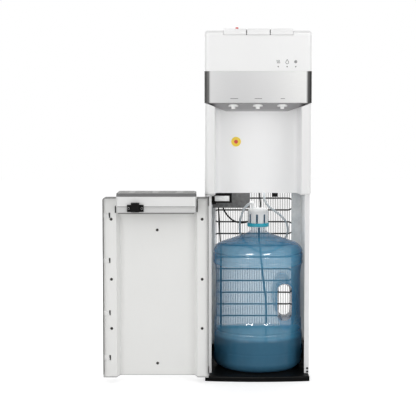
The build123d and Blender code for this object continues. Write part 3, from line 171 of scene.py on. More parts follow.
# ------------------------------------------------------------------ shader expressions
class Value:
    """A shader socket that takes arithmetic: each operator adds one Math node."""

    def __init__(self, finish, socket):
        self.finish = finish
        self.socket = socket

    def math(self, operation, *terms):
        """One Math node on one or two terms."""
        return self.finish.node("ShaderNodeMath", {"operation": operation}, dict(enumerate(terms)))

    def __add__(self, other):
        return self.math("ADD", self, other)

    def __radd__(self, other):
        return self.math("ADD", other, self)

    def __sub__(self, other):
        return self.math("SUBTRACT", self, other)

    def __rsub__(self, other):
        return self.math("SUBTRACT", other, self)

    def __mul__(self, other):
        return self.math("MULTIPLY", self, other)

    def __rmul__(self, other):
        return self.math("MULTIPLY", other, self)

    def __truediv__(self, other):
        return self.math("DIVIDE", self, other)

    def __pow__(self, other):
        return self.math("POWER", self, other)

    def size(self):
        """Distance from zero."""
        return self.math("ABSOLUTE", self)

    def least(self, other):
        """The smaller of two values."""
        return self.math("MINIMUM", self, other)

    def most(self, other):
        """The larger of two values."""
        return self.math("MAXIMUM", self, other)

    def rise(self, low, high):
        """0 below low, 1 above high, smooth between; low above high gives a fall."""
        settings = {"interpolation_type": "SMOOTHSTEP", "clamp": True}
        inputs = {"Value": self, "From Min": low, "From Max": high}
        return self.finish.node("ShaderNodeMapRange", settings, inputs)


class Finish:
    """A material, or the world, being built: node() adds any node, the rest are short for it."""

    def __init__(self, name, kind="materials"):
        self.owner = getattr(bpy.data, kind).new(name)
        self.owner.use_nodes = True
        self.tree = self.owner.node_tree
        self.tree.nodes.clear()
        self.places = None

    def node(self, kind, settings, inputs, output=0):
        """Adds a node, sets it, then gives its sockets their values or links."""
        made = self.tree.nodes.new(kind)
        for key, value in settings.items():
            setattr(made, key, value)
        for key, value in inputs.items():
            if isinstance(value, Value):
                self.tree.links.new(value.socket, made.inputs[key])
            else:
                made.inputs[key].default_value = value
        return Value(self, made.outputs[output]) if made.outputs else None

    def place(self):
        """Position on the object, as a vector."""
        if self.places is None:
            self.places = self.node("ShaderNodeTexCoord", {}, {}, "Object")
        return self.places

    def axis(self, index):
        """One coordinate of the position, in metres."""
        return self.node("ShaderNodeSeparateXYZ", {}, {0: self.place()}, index)

    def stretched(self, scale):
        """Position scaled by its own amount along each axis, or left as it is."""
        if scale is None:
            return self.place()
        return self.node("ShaderNodeMapping", {}, {"Vector": self.place(), "Scale": scale})

    def noise(self, scale, detail, rough=0.55, stretch=None):
        """Soft noise from 0 to 1; scale counts waves a metre."""
        inputs = {"Vector": self.stretched(stretch), "Scale": scale, "Detail": detail,
                  "Roughness": rough}
        return self.node("ShaderNodeTexNoise", {}, inputs)

    def cells(self, scale, stretch=None, output="Distance"):
        """Cell pattern: distance from each cell's middle, or its own random Color."""
        inputs = {"Vector": self.stretched(stretch), "Scale": scale}
        return self.node("ShaderNodeTexVoronoi", {}, inputs, output)

    def cell_tone(self, scale):
        """A random tone from 0 to 1 that is the same all over a cell."""
        return self.node("ShaderNodeSeparateColor", {}, {0: self.cells(scale, output="Color")})

    def mix(self, factor, first, second):
        """Colour between two colours; 6, 7 and 2 are the node's own numbers for its colours."""
        inputs = {0: factor, 6: first, 7: second}
        return self.node("ShaderNodeMix", {"data_type": "RGBA"}, inputs, 2)

    def soft_edges(self, radius):
        """Normal that rounds every sharp edge by a radius."""
        return self.node("ShaderNodeBevel", {"samples": 6}, {"Radius": radius})

    def bump(self, height, distance, edge=None):
        """Normal bent by a height, distance metres deep, over edges rounded by a radius."""
        inputs = {"Height": height, "Distance": distance, "Strength": 1.0}
        if edge is not None:
            inputs["Normal"] = self.soft_edges(edge)
        return self.node("ShaderNodeBump", {}, inputs)

    def moulded_grain(self, edge, depth=0.00003):
        """Normal of a moulded face: the fine grain of a spark-eroded mould."""
        return self.bump(self.noise(1400.0, 2.0), depth, edge)

    def surface(self, **inputs):
        """Principled surface and the output; returns the material."""
        named = {key.replace("_", " "): value for key, value in inputs.items()}
        shader = self.node("ShaderNodeBsdfPrincipled", {}, named, "BSDF")
        self.node("ShaderNodeOutputMaterial", {}, {"Surface": shader})
        return self.owner


def tint(colour, factor=1.0):
    """A colour with its alpha, made lighter or darker."""
    return (colour[0] * factor, colour[1] * factor, colour[2] * factor, 1.0)


def grey(level, blue=1.0):
    """A grey with its alpha; blue below 1 warms it, above 1 cools it."""
    return (level, level, level * blue, 1.0)


# ------------------------------------------------------------------ finishes
def moulded_plastic(name, colour, roughness=0.36, grain=0.00003, edge=0.0007, coat=0.0):
    """Injection moulded plastic: grain of the mould, a slow change of tone, and faint scuffs."""
    finish = Finish(name)
    slow = finish.noise(7.0, 4.0)
    scuffs = finish.noise(60.0, 6.0, 0.7, (1.0, 1.0, 0.25)).rise(0.58, 0.72)
    tone = finish.mix(slow, tint(colour, 0.975), tint(colour, 1.02))
    worn = finish.mix(scuffs * 0.05, tone, tint(colour, 0.82))
    return finish.surface(Base_Color=worn, Coat_Weight=coat, Coat_Roughness=0.12,
                          Roughness=roughness + (slow - 0.5) * 0.10 + scuffs * 0.10,
                          Normal=finish.moulded_grain(edge, grain))


def brushed_band():
    """Brushed steel wrap of the head: level hairlines, a painted sheen, the face painted lighter to
    the right, and turned-back ends painted dark as their reflection.
    """
    finish = Finish("brushed_band")
    across = finish.axis("X")
    hairlines = finish.noise(60.0, 6.0, 0.75, (0.6, 30.0, 30.0))
    sheen = finish.noise(5.0, 1.0, 0.5, (1.0, 1.0, 0.15))
    # Painted light: the steel is lighter towards the right end.
    lit_right_side = across.rise(0.02, 0.14)
    steel = finish.mix(lit_right_side, (0.465, 0.465, 0.468, 1.0), (0.61, 0.61, 0.60, 1.0))
    lined = finish.mix(hairlines.rise(0.3, 0.7) * 0.45, steel, grey(0.41))
    # Painted sheen: slow streaks of lighter steel.
    streaked = finish.mix(sheen.rise(0.35, 0.75) * 0.30, lined, (0.68, 0.68, 0.67, 1.0))
    # Painted reflection: the turned-back ends are near black, a little less dark at the left end.
    dark = finish.mix(across.rise(-0.1, 0.1), (0.045, 0.044, 0.042, 1.0),
                      (0.006, 0.006, 0.005, 1.0))
    colour = finish.mix(across.size().rise(*BAND_ENDS), streaked, dark)
    return finish.surface(Base_Color=colour, Metallic=0.25, Roughness=0.34 + hairlines * 0.16,
                          Normal=finish.bump(hairlines, 0.00004, 0.0006))


def door_sheet():
    """Door's outer skin: brushed face, its turned edges painted dark grey as the shade along its
    rim, and pale grey at the very foot.
    """
    finish = Finish("door_sheet")
    hairlines = finish.noise(60.0, 6.0, 0.75, (30.0, 30.0, 0.6))
    steel = finish.mix(hairlines.rise(0.3, 0.7) * 0.4, grey(0.70), grey(0.60))
    # Painted shade: the turned edges are dark grey, for the shade along the skin's rim.
    side = finish.mix(finish.noise(30.0, 4.0), (0.110, 0.109, 0.107, 1.0),
                      (0.150, 0.148, 0.145, 1.0))
    edge = finish.mix(finish.axis("Z").rise(*DOOR_FOOT), side, (0.55, 0.55, 0.545, 1.0))
    face = finish.axis("Y").rise(*DOOR_FACE)
    return finish.surface(Base_Color=finish.mix(face, edge, steel), Metallic=0.2,
                          Roughness=0.36 + hairlines * 0.14,
                          Normal=finish.bump(hairlines, 0.00003, 0.0008))


def sheet_side():
    """Cabinet side: satin paint with orange peel outside; inside, duller zinc flowers painted near
    white, as light in the shaded bay.
    """
    finish = Finish("sheet_side")
    outer_face = finish.axis("X").size().rise(*SIDE_OUTSIDE)
    outside = outer_face.most(finish.axis("Y").rise(*SIDE_FRONT))
    peel = finish.noise(900.0, 3.0)
    slow = finish.noise(5.0, 4.0)
    flowers = finish.cell_tone(95.0)
    stained = finish.noise(40.0, 5.0, 0.7).rise(0.42, 0.72)
    paint = finish.mix(slow, (0.76, 0.76, 0.765, 1.0), grey(0.80))
    # Painted light: the zinc inside is near white, lighter than the zinc elsewhere, for light in
    # the bay.
    zinc = finish.mix(flowers, (0.88, 0.88, 0.875, 1.0), (0.95, 0.95, 0.94, 1.0))
    inner = finish.mix(stained * 0.35, zinc, (0.62, 0.62, 0.61, 1.0))
    height = peel * outside + flowers * 0.3 * (1.0 - outside)
    return finish.surface(Base_Color=finish.mix(outside, inner, paint),
                          Metallic=0.12 - outside * 0.12,
                          Roughness=0.42 + slow * 0.12 - outside * 0.08,
                          Normal=finish.bump(height, 0.00004, 0.0006))


def galvanised(name, light=0.50, dark=0.34):
    """Galvanised steel: cells of zinc with their own tone, drawn lines and a little white bloom."""
    finish = Finish(name)
    flowers = finish.cell_tone(120.0)
    lines = finish.noise(25.0, 5.0, 0.7, (0.5, 12.0, 12.0))
    bloom = finish.noise(14.0, 6.0, 0.65).rise(0.55, 0.75)
    zinc = finish.mix(flowers, grey(dark, 0.99), grey(light, 0.99))
    lined = finish.mix(lines.rise(0.45, 0.7) * 0.35, zinc, grey(light * 1.25))
    return finish.surface(Base_Color=finish.mix(bloom * 0.25, lined, (0.66, 0.66, 0.65, 1.0)),
                          Metallic=0.55, Roughness=0.36 + flowers * 0.18 + bloom * 0.15,
                          Normal=finish.bump(flowers + lines * 0.4, 0.00005, 0.0004))


def black_shell(name, tone, roughness=0.34, grain=0.00006, shine=0.15):
    """Black moulded plastic: coarse grain, and grey dust in patches."""
    finish = Finish(name)
    grit = finish.noise(700.0, 3.0, 0.6)
    dust = finish.noise(22.0, 6.0, 0.7).rise(0.52, 0.80)
    colour = finish.mix(dust * 0.25, grey(tone, 1.03), grey(tone * 3))
    return finish.surface(Base_Color=colour, Roughness=roughness + dust * 0.22 + grit * 0.06,
                          Specular_IOR_Level=shine, Normal=finish.bump(grit, grain, 0.0007))


def black_enamel():
    """Dipped black paint on tube, wire and compressor: soft sags and matt dust."""
    finish = Finish("black_enamel")
    sags = finish.noise(45.0, 4.0, 0.6)
    dust = finish.noise(260.0, 4.0, 0.7).rise(0.5, 0.75)
    colour = finish.mix(dust * 0.4, grey(0.010), (0.05, 0.048, 0.045, 1.0))
    return finish.surface(Base_Color=colour, Roughness=0.28 + dust * 0.3,
                          Normal=finish.bump(sags + dust * 0.2, 0.00012))


def wire_enamel():
    """Thin coat on the condenser's wires, worn grey."""
    finish = Finish("wire_enamel")
    worn = finish.noise(180.0, 5.0, 0.7).rise(0.35, 0.75)
    colour = finish.mix(worn, (0.028, 0.027, 0.026, 1.0), (0.075, 0.073, 0.070, 1.0))
    return finish.surface(Base_Color=colour, Roughness=0.45 + worn * 0.2,
                          Normal=finish.bump(worn, 0.00004))


def bright_steel(name, colour=(0.60, 0.60, 0.61), roughness=0.28):
    """Turned or drawn bright steel with fine lines and handling marks."""
    finish = Finish(name)
    lines = finish.noise(300.0, 3.0, 0.6, (0.2, 1.0, 1.0))
    marks = finish.noise(40.0, 6.0, 0.7).rise(0.55, 0.8)
    shade = finish.mix(marks * 0.5, tint(colour), tint(colour, 0.6))
    return finish.surface(Base_Color=shade, Metallic=0.9,
                          Roughness=roughness + lines * 0.12 + marks * 0.15,
                          Normal=finish.bump(lines, 0.00003, 0.0003))


def copper_tube():
    """Drawn copper with brown tarnish in patches."""
    finish = Finish("copper_tube")
    tarnish = finish.noise(35.0, 6.0, 0.7).rise(0.4, 0.75)
    colour = finish.mix(tarnish, (0.72, 0.36, 0.22, 1.0), (0.30, 0.15, 0.09, 1.0))
    return finish.surface(Base_Color=colour, Metallic=0.9, Roughness=0.25 + tarnish * 0.3,
                          Normal=finish.bump(tarnish, 0.00005))


def foam_block():
    """Expanded foam: beads packed together, each with a slightly different tone."""
    finish = Finish("foam_block")
    bead = finish.cells(210.0)
    colour = finish.mix(finish.cell_tone(210.0), (0.80, 0.78, 0.73, 1.0), (0.86, 0.85, 0.80, 1.0))
    return finish.surface(Base_Color=colour, Roughness=0.8 + bead * 0.1,
                          Normal=finish.bump(1.0 - bead, 0.0006))


def soft_tube(name, colour, alpha):
    """Silicone hose: milky, a little see-through, with the faint ripple of the extruder."""
    finish = Finish(name)
    ripple = finish.noise(350.0, 3.0, 0.6)
    cloud = finish.noise(30.0, 4.0, 0.6)
    shade = finish.mix(cloud, tint(colour, 0.94), tint(colour, 1.04))
    return finish.surface(Base_Color=shade, Roughness=0.22 + cloud * 0.1,
                          Alpha=alpha + (cloud - 0.5) * 0.15, Normal=finish.bump(ripple, 0.00004))


def circuit_board():
    """Green solder mask with copper tracks under it and tinned pads."""
    finish = Finish("circuit_board")
    tracks = finish.cells(260.0, (1.0, 0.2, 3.0)).rise(0.12, 0.16)
    pads = finish.cells(420.0).rise(0.10, 0.06)
    mask = finish.mix(tracks, (0.03, 0.20, 0.07, 1.0), (0.015, 0.10, 0.035, 1.0))
    return finish.surface(Base_Color=finish.mix(pads, mask, (0.62, 0.62, 0.60, 1.0)),
                          Roughness=0.35 + pads * 0.1, Metallic=pads * 0.7,
                          Normal=finish.bump(pads - tracks * 0.5, 0.0001))


def bottle_shell():
    """Tinted clear polycarbonate: deep blue where it turns away, cloudy above and below the waist.

    The waist is clearest, and its lower edge slopes down to the back. The wall is thicker round the
    hand hole and at the foot, and its shine fades where it turns away.
    """
    finish = Finish("bottle_shell")
    height = finish.axis("Z")
    level = height + 0.2 * (finish.axis("Y") - (BOTTLE_Y - BOTTLE_RADIUS))
    facing = finish.node("ShaderNodeLayerWeight", {}, {"Blend": 0.40}, "Facing")
    smears = finish.noise(16.0, 6.0, 0.65, (1.0, 1.0, 0.45))
    ripples = finish.noise(30.0, 4.0, 0.6, (1.0, 1.0, 0.30))
    waist = level.rise(0.160, 0.170) * height.rise(0.338, 0.328)
    calf = level.rise(0.172, 0.164)
    dome = height.rise(0.392, 0.430)
    foot = height.rise(0.122, 0.110)
    hole_x = (finish.axis("X") - HAND_HOLE_X) / 0.033
    hole_z = (height - HAND_HOLE_Z) / 0.074
    grip = (hole_x * hole_x + hole_z * hole_z).rise(1.15, 0.75)
    clouded = 0.64 - waist * 0.24 - dome * 0.40 - calf * 0.06
    body = clouded + foot * 0.30 + grip * 0.26 + (smears - 0.5) * 0.16
    alpha = body + (1.0 - body) * (facing ** 1.5) * (1.0 - dome * 0.65)
    tone = finish.mix(smears, (0.040, 0.245, 0.420, 1.0), (0.105, 0.385, 0.590, 1.0))
    edge = finish.mix(facing.rise(0.25, 0.85), tone, (0.004, 0.125, 0.290, 1.0))
    gripped = finish.mix(grip * 0.6, edge, (0.035, 0.165, 0.320, 1.0))
    colour = finish.mix(foot * 0.85, gripped, (0.034, 0.108, 0.180, 1.0))
    shine = (1.0 - facing) ** 1.5 * (0.2 + 0.8 * height.rise(0.119, 0.128))
    return finish.surface(Base_Color=colour, Roughness=0.06 + smears * 0.08,
                          Alpha=alpha.least(1.0), IOR=1.55, Specular_IOR_Level=0.1,
                          Coat_Weight=shine, Coat_Roughness=0.03,
                          Normal=finish.bump(ripples, 0.00028))


def alcove_white():
    """Head white, painted lighter inside the recess as light filling it."""
    finish = Finish("alcove_white")
    slow = finish.noise(7.0, 4.0)
    outer = finish.mix(slow, (0.800, 0.800, 0.797, 1.0), (0.820, 0.820, 0.817, 1.0))
    # Painted light: the white is lighter inside the recess.
    inner = finish.mix(slow, grey(0.890), grey(0.910))
    inside = finish.axis("Y").rise(*ALCOVE_MOUTH)
    return finish.surface(Base_Color=finish.mix(inside, outer, inner),
                          Roughness=0.36 + (slow - 0.5) * 0.1, Normal=finish.moulded_grain(0.0016))


def hood_shade():
    """Grey of the hood over the taps: painted shade under the head, paling towards the recess as
    the shade fades.
    """
    finish = Finish("hood_shade")
    slow = finish.noise(7.0, 4.0)
    front = finish.mix(slow, (0.283, 0.275, 0.283, 1.0), (0.297, 0.289, 0.297, 1.0))
    # Painted shade: the grey fades out towards the recess.
    back = finish.axis("Y").rise(*HOOD_SHADE_FADE)
    return finish.surface(Base_Color=finish.mix(back, front, (0.460, 0.452, 0.460, 1.0)),
                          Roughness=0.42 + (slow - 0.5) * 0.1, Normal=finish.moulded_grain(0.0007))


def holder_white():
    """White of the drip tray's holder; below its seam it is greyer, as painted shade, and more
    matt.
    """
    finish = Finish("holder_white")
    slow = finish.noise(7.0, 4.0)
    upper = finish.mix(slow, (0.745, 0.745, 0.740, 1.0), (0.775, 0.775, 0.770, 1.0))
    lower = finish.mix(slow, (0.570, 0.570, 0.565, 1.0), (0.600, 0.600, 0.595, 1.0))
    # Painted shade: the white is greyer below the seam.
    shaded_skirt = finish.axis("Z").rise(*HOLDER_SKIRT)
    return finish.surface(Base_Color=finish.mix(shaded_skirt, upper, lower),
                          Roughness=0.34 + shaded_skirt * 0.12, Normal=finish.moulded_grain(0.0014))


def key_white():
    """Head white with painted shade on the parting faces, so that the gaps between the keys read as
    gaps.
    """
    finish = Finish("key_white")
    across = finish.axis("X")
    slow = finish.noise(9.0, 4.0)
    # Painted shade: near black on the parting faces between the keys.
    gaps = [(across - place).size().rise(*KEY_GAP) for place in KEY_GAP_X]
    dark = (gaps[0] + gaps[1]) * finish.axis("Z").rise(*KEY_TOP)
    white = finish.mix(slow, (0.835, 0.835, 0.832, 1.0), (0.862, 0.862, 0.860, 1.0))
    return finish.surface(Base_Color=finish.mix(dark, white, grey(0.045)),
                          Roughness=0.34 + (slow - 0.5) * 0.1, Normal=finish.moulded_grain(0.0010))


def cap_white():
    """Cap of the suction probe: off-white, with the faces down its slots painted dark blue as the
    shaded bottle seen through them.
    """
    finish = Finish("cap_white")
    slow = finish.noise(20.0, 4.0)
    off_x = finish.axis("X") - BOTTLE_X
    off_y = finish.axis("Y") - BOTTLE_Y
    reach = (off_x * off_x + off_y * off_y) ** 0.5
    height = finish.axis("Z")
    # Painted shade: the faces down the slots are dark blue.
    slots = reach.rise(*CAP_SLOT_DEPTH) * height.rise(*CAP_SLOT_FOOT) * height.rise(*CAP_SLOT_TOP)
    white = finish.mix(slow, (0.70, 0.705, 0.705, 1.0), (0.76, 0.765, 0.765, 1.0))
    return finish.surface(Base_Color=finish.mix(slots, white, (0.010, 0.120, 0.270, 1.0)),
                          Roughness=0.34 + slow * 0.1,
                          Normal=finish.bump(finish.noise(900.0, 2.0), 0.00003, 0.0010))


def printed_ink(name, level):
    """Screen-printed grey ink: matt, with pinholes."""
    finish = Finish(name)
    pinholes = finish.noise(2500.0, 2.0).rise(0.66, 0.74)
    return finish.surface(Base_Color=finish.mix(pinholes * 0.4, grey(level), grey(0.7)),
                          Roughness=0.5 + pinholes * 0.2, Normal=finish.bump(pinholes, 0.00002))


finishes = {
    "base": black_shell("tray_black", 0.004, shine=0.06),
    "white_plastic": moulded_plastic("head_white", (0.845, 0.845, 0.842)),
    "door_plastic": moulded_plastic("liner_white", (0.820, 0.820, 0.805), 0.34, 0.00004, 0.0012),
    "side_steel": sheet_side(),
    "zinc_steel": galvanised("zinc_sheet"),
    "hood_grey": hood_shade(),
    "tap_white": moulded_plastic("tap_white", (0.87, 0.87, 0.865), 0.22, 0.00001, 0.0005, coat=0.3),
    "band_steel": brushed_band(),
    "lamp": moulded_plastic("lamp_lens", (0.22, 0.22, 0.22), 0.18, 0.00001, 0.0002, coat=0.5),
    "board_green": circuit_board(),
    "rod_steel": bright_steel("bright_rod"),
    "red_plastic": moulded_plastic("lock_red", (0.70, 0.035, 0.022), 0.25, 0.00001, 0.0004,
                                   coat=0.4),
    "rubber_black": black_shell("soft_rubber", 0.016, 0.62, 0.0001),
    "black_paint": black_enamel(),
    "stainless": bright_steel("tank_steel", (0.62, 0.62, 0.63), 0.24),
    "foam_white": foam_block(),
    "silicone": soft_tube("milky_tube", (0.80, 0.82, 0.82), 0.80),
    "copper": copper_tube(),
    "black_plastic": black_shell("box_black", 0.004, 0.40, shine=0.08),
    "grey_plastic": moulded_plastic("tray_grey", (0.135, 0.135, 0.137), 0.38),
    "plate_white": moulded_plastic("plate_white", (0.80, 0.80, 0.79), 0.30, 0.00001, 0.0003),
    "bottle_blue": bottle_shell(),
    "cyan_plastic": moulded_plastic("collar_cyan", (0.002, 0.360, 0.480), 0.28, 0.00002, 0.0006,
                                    coat=0.3),
}
special_finishes = {
    "door_skin": door_sheet(),
    "condenser_wires": wire_enamel(),
    "suction_hose": soft_tube("hose_clear", (0.62, 0.66, 0.68), 0.58),
    "tray_holder": holder_white(),
    "door_screws": bright_steel("dark_screw", (0.050, 0.048, 0.045), 0.45),
    "probe_tube": moulded_plastic("probe_blue", (0.045, 0.085, 0.13), 0.3),
    "probe_cap": cap_white(),
    "alcove_panel": alcove_white(),
    # Painted shade: the bracket is a darker copy of the zinc, for the shade it lies in.
    "pump_bracket": galvanised("shaded_bracket_sheet", 0.19, 0.11),
    "drip_grille": moulded_plastic("grille_grey", (0.30, 0.30, 0.295), 0.38),
    **dict.fromkeys(("hot_key", "ambient_key", "cold_key"), key_white()),
}
for part in frame["record"]["subparts"]:
    chosen = special_finishes.get(part["node"], finishes[part["material_slot"]])
    for slot in frame["nodes"][part["node"]].material_slots:
        slot.material = chosen


# ------------------------------------------------------------------ surfaces
def skin(rows, closed=False):
    """Points and quads of a grid of points, given as an array of row, place in the row and xyz.

    Each row runs round, so its last point joins its first, and closed joins the last row to the
    first as well. A quad joins (i, j), (i, j + 1), (i + 1, j + 1) and (i + 1, j).
    """
    count, around = rows.shape[:2]
    i, j = np.meshgrid(np.arange(count if closed else count - 1), np.arange(around), indexing="ij")
    here, below = i * around, (i + 1) % count * around
    beside = (j + 1) % around
    quads = np.stack([here + j, here + beside, below + beside, below + j], -1)
    return rows.reshape(-1, 3), quads.reshape(-1, 4)


def capped(rows, first, last):
    """Rows with one more at each end, drawn in to a point."""
    ends = [np.broadcast_to(np.asarray(point, float), rows[:1].shape) for point in (first, last)]
    return np.concatenate([ends[0], rows, ends[1]])


def joined(surfaces):
    """Several surfaces as one."""
    starts = np.cumsum([0] + [len(points) for points, _ in surfaces[:-1]])
    points = np.concatenate([points for points, _ in surfaces])
    return points, np.concatenate([quads + start for (_, quads), start in zip(surfaces, starts)])


def smooth(mesh, sharp):
    """Smooths all but the edges sharper than an angle in degrees."""
    mesh.shade_smooth()
    mesh.set_sharp_from_angle(angle=radians(sharp))


def piece(name, surface, finish, sharp=35.0):
    """Mesh object at the origin: the doubles at poles and seams merged, and the faces outwards."""
    points, quads = surface
    mesh = bpy.data.meshes.new(name)
    mesh.from_pydata(points, [], quads)
    mesh.materials.append(finish)
    work = bmesh.new()
    work.from_mesh(mesh)
    bmesh.ops.remove_doubles(work, verts=work.verts, dist=1e-6)
    bmesh.ops.recalc_face_normals(work, faces=work.faces)
    work.to_mesh(mesh)
    work.free()
    smooth(mesh, sharp)
    return linked(name, mesh)


def fit_out(made, body):
    """The piece rides on a body."""
    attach(made, body)
    return made


def fitted(name, surfaces, finish, body, sharp=35.0):
    """Several surfaces as one piece that rides on a body."""
    return fit_out(piece(name, joined(surfaces), finish, sharp), body)


def circle(sides):
    """Angles of a full turn, in equal steps."""
    return np.linspace(0, 2 * pi, sides, endpoint=False)


def unit(vectors):
    """Vectors at length one."""
    return vectors / np.linalg.norm(vectors, axis=-1, keepdims=True)


def ring(radius, sides, second=None):
    """Circle, or ellipse with a second radius, as section points: (r cos a, s sin a)."""
    angle = circle(sides)
    other = radius if second is None else second
    return np.column_stack([radius * np.cos(angle), other * np.sin(angle)])


def carried(path, section, closed=False):
    """Section carried along a path.

    At each path point the frame is the tangent t, n = Y x t and b = t x n, all at length one, and
    the section's (p, q) lies at path + p n + q b. An open run's ends are drawn in to a point.
    """
    ahead = np.roll(path, -1, 0) - np.roll(path, 1, 0) if closed else np.gradient(path, axis=0)
    tangent = unit(ahead)
    sideways = unit(np.cross((0.0, 1.0, 0.0), tangent))
    upright = np.cross(tangent, sideways)
    p, q = section[None, :, :1], section[None, :, 1:]
    rows = path[:, None] + p * sideways[:, None] + q * upright[:, None]
    return skin(rows if closed else capped(rows, path[0], path[-1]), closed)


def turned(radius, height, centre, sides=48, axis="Z"):
    """Surface of revolution: a profile point (r, h) goes round at (r cos a, r sin a, h)."""
    angle = circle(sides)
    radius = np.asarray(radius, float)[:, None]
    height = np.broadcast_to(np.asarray(height, float)[:, None], (len(radius), sides))
    spread = [radius * np.cos(angle), radius * np.sin(angle), height]
    order = {"Z": (0, 1, 2), "Y": (0, 2, 1)}[axis]
    return skin(np.stack([spread[index] for index in order], -1) + np.asarray(centre, float))


def rounded_line(corners, radii, steps):
    """Corners of a flat line, each replaced by an arc of its radius that touches both its runs."""
    corners = np.asarray(corners, float)
    radii = np.asarray(radii, float)[:, None]
    here = corners[1:-1]
    back, forth = unit(corners[:-2] - here), unit(corners[2:] - here)
    half = np.arccos(np.clip((back * forth).sum(1), -1, 1))[:, None] / 2
    centre = here + unit(back + forth) * (radii / np.sin(half))
    start, end = here + back * (radii / np.tan(half)), here + forth * (radii / np.tan(half))
    share = np.linspace(0, 1, steps)[None, :, None]
    chord = start[:, None] * (1 - share) + end[:, None] * share
    arcs = centre[:, None] + unit(chord - centre[:, None]) * radii[:, None]
    return np.concatenate([corners[:1], arcs.reshape(-1, 2), corners[-1:]])


# ------------------------------------------------------------------ hoses
def route_points(name, route):
    """Points read from a smooth line that has the route's points as its control points."""
    curve = bpy.data.curves.new(name, "CURVE")
    curve.dimensions = "3D"
    curve.resolution_u = 10
    spline = curve.splines.new("NURBS")
    spline.points.add(len(route) - 1)
    spline.points.foreach_set("co", np.column_stack([route, np.ones(len(route))]).ravel())
    spline.order_u = 3
    spline.use_endpoint_u = True
    guide = linked(name, curve)
    line = bpy.data.meshes.new_from_object(guide)
    points = np.empty(len(line.vertices) * 3)
    line.vertices.foreach_get("co", points)
    bpy.data.objects.remove(guide)
    bpy.data.meshes.remove(line)
    return points.reshape(-1, 3)


def hose(name, route, radius, finish):
    """Round hose along a route, and the points that it follows."""
    path = route_points(name + "_line", route)
    return piece(name, carried(path, ring(radius, 20)), finish, 60.0), path


suction, suction_path = hose("suction_hose_run", SUCTION_ROUTE, SUCTION_RADIUS,
                             special_finishes["suction_hose"])
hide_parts("suction_hose")
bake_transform(suction)

drain, drain_path = hose("drain_hose_run", DRAIN_ROUTE, DRAIN_RADIUS, finishes["rubber_black"])
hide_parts("drain_hose")
fit_out(drain, "cabinet")


# ------------------------------------------------------------------ bottle
# The wall's straight runs as (radius, height) in mm, and the radius of the arc at each inner corner
WALL_CORNERS = [(0, 15.3), (137, 15.3), (137, 110), (134.4, 121), (133.4, 161.2), (131.0, 166.6),
                (129.5, 215), (129.5, 297.3), (132.6, 325), (137, 334), (137, 387.3), (70, 409.8),
                (38, 421.3), (23, 430.3), (23, 447.8)]
WALL_ARCS = [27, 6, 6, 6, 6, 90, 60, 20, 8, 34, 80, 20, 8]
# Grooves pressed into the wall: height, width and depth in mm
GROOVES = ((71, 3.0, 0.3), (131, 2.4, 1.4), (345, 2.2, 0.9), (365.5, 2.0, 2.2), (396, 3.0, 0.9))
WALL_POINTS = 460
# The mouth's collar, and the floor that closes it inside, in mm
MOUTH_RADIUS = (28, 28, 21.5, 21.5, 0)
MOUTH_HEIGHT = (447.8, 487.8, 487.8, 470.0, 470.0)


def bottle_profile():
    """Radius and height up the bottle: straight runs joined by arcs, with grooves in the wall.

    Each groove takes depth * exp(-((h - place) / width) squared) off the radius.
    """
    line = rounded_line(WALL_CORNERS, WALL_ARCS, 14)
    steps = np.concatenate([[0], np.cumsum(np.linalg.norm(np.diff(line, axis=0), axis=1))])
    along = np.linspace(0, steps[-1], WALL_POINTS)
    radius, height = np.interp(along, steps, line[:, 0]), np.interp(along, steps, line[:, 1])
    for place, width, depth in GROOVES:
        radius = radius - depth * np.exp(-(((height - place) / width) ** 2)) * (radius > 60)
    return (np.concatenate([radius, MOUTH_RADIUS]) / 1000,
            np.concatenate([height, MOUTH_HEIGHT]) / 1000)


def hand_hole():
    """Funnel-ended tunnel through the bottle for a hand, running a little down and outwards.

    Its section is a rounded upright slot. With d the distance from mid-depth as a share of the
    bottle's half-depth there, it is 17.5 + 5 d ** 1.3 mm half wide and 46.5 + 9 d ** 1.3 mm half
    high. Its middle moves 0.04 outwards and 0.10 down for each unit of depth.
    """
    turn = circle(72)
    depth = np.linspace(*HAND_HOLE_SPAN, 64)[:, None]
    flare = (np.abs(depth - BOTTLE_Y) / HAND_HOLE_HALF_DEPTH) ** 1.3
    half_width = 0.0175 + 0.005 * flare
    half_height = 0.0465 + 0.009 * flare
    corner = half_width * 0.94
    across = np.clip(np.cos(turn) * 3, -1, 1) * (half_width - corner) + corner * np.cos(turn)
    upward = np.clip(np.sin(turn) * 3, -1, 1) * (half_height - corner) + corner * np.sin(turn)
    across = across + 0.04 * (depth - BOTTLE_Y) + HAND_HOLE_X
    upward = upward - 0.10 * (depth - BOTTLE_Y) + HAND_HOLE_Z
    rows = np.stack([across, np.broadcast_to(depth, across.shape), upward], -1)
    ends = [(HAND_HOLE_X, place, HAND_HOLE_Z) for place in HAND_HOLE_SPAN]
    return skin(capped(rows, *ends))


def blow_bottle():
    """Bottle with its hand hole cut through."""
    radius, height = bottle_profile()
    wall = turned(radius, height, (BOTTLE_X, BOTTLE_Y, 0), 192)
    body = piece("bottle_wall", wall, finishes["bottle_blue"])
    cutter = piece("hand_hole_cutter", hand_hole(), finishes["bottle_blue"])
    cut = body.modifiers.new("hand_hole", "BOOLEAN")
    cut.operation = "DIFFERENCE"
    cut.solver = "EXACT"
    cut.object = cutter
    graph = bpy.context.evaluated_depsgraph_get()
    done = bpy.data.meshes.new_from_object(body.evaluated_get(graph))
    body.modifiers.clear()
    body.data = done
    bpy.data.objects.remove(cutter)
    smooth(done, 40.0)
    return body


bottle = blow_bottle()
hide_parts("bottle")
fit_out(bottle, "bottle")


# ------------------------------------------------------------------ print on the head
INK_WIDTH = 0.00075
DASH_WIDTH = 0.00085
INK_PROUD = 0.0001
SIGN_Z = 0.9380
DASH_Z = 0.8317
# Middle and half length of the dash over each tap
DASHES = ((-0.0696, 0.0114), (0.0003, 0.0108), (0.0710, 0.0062))


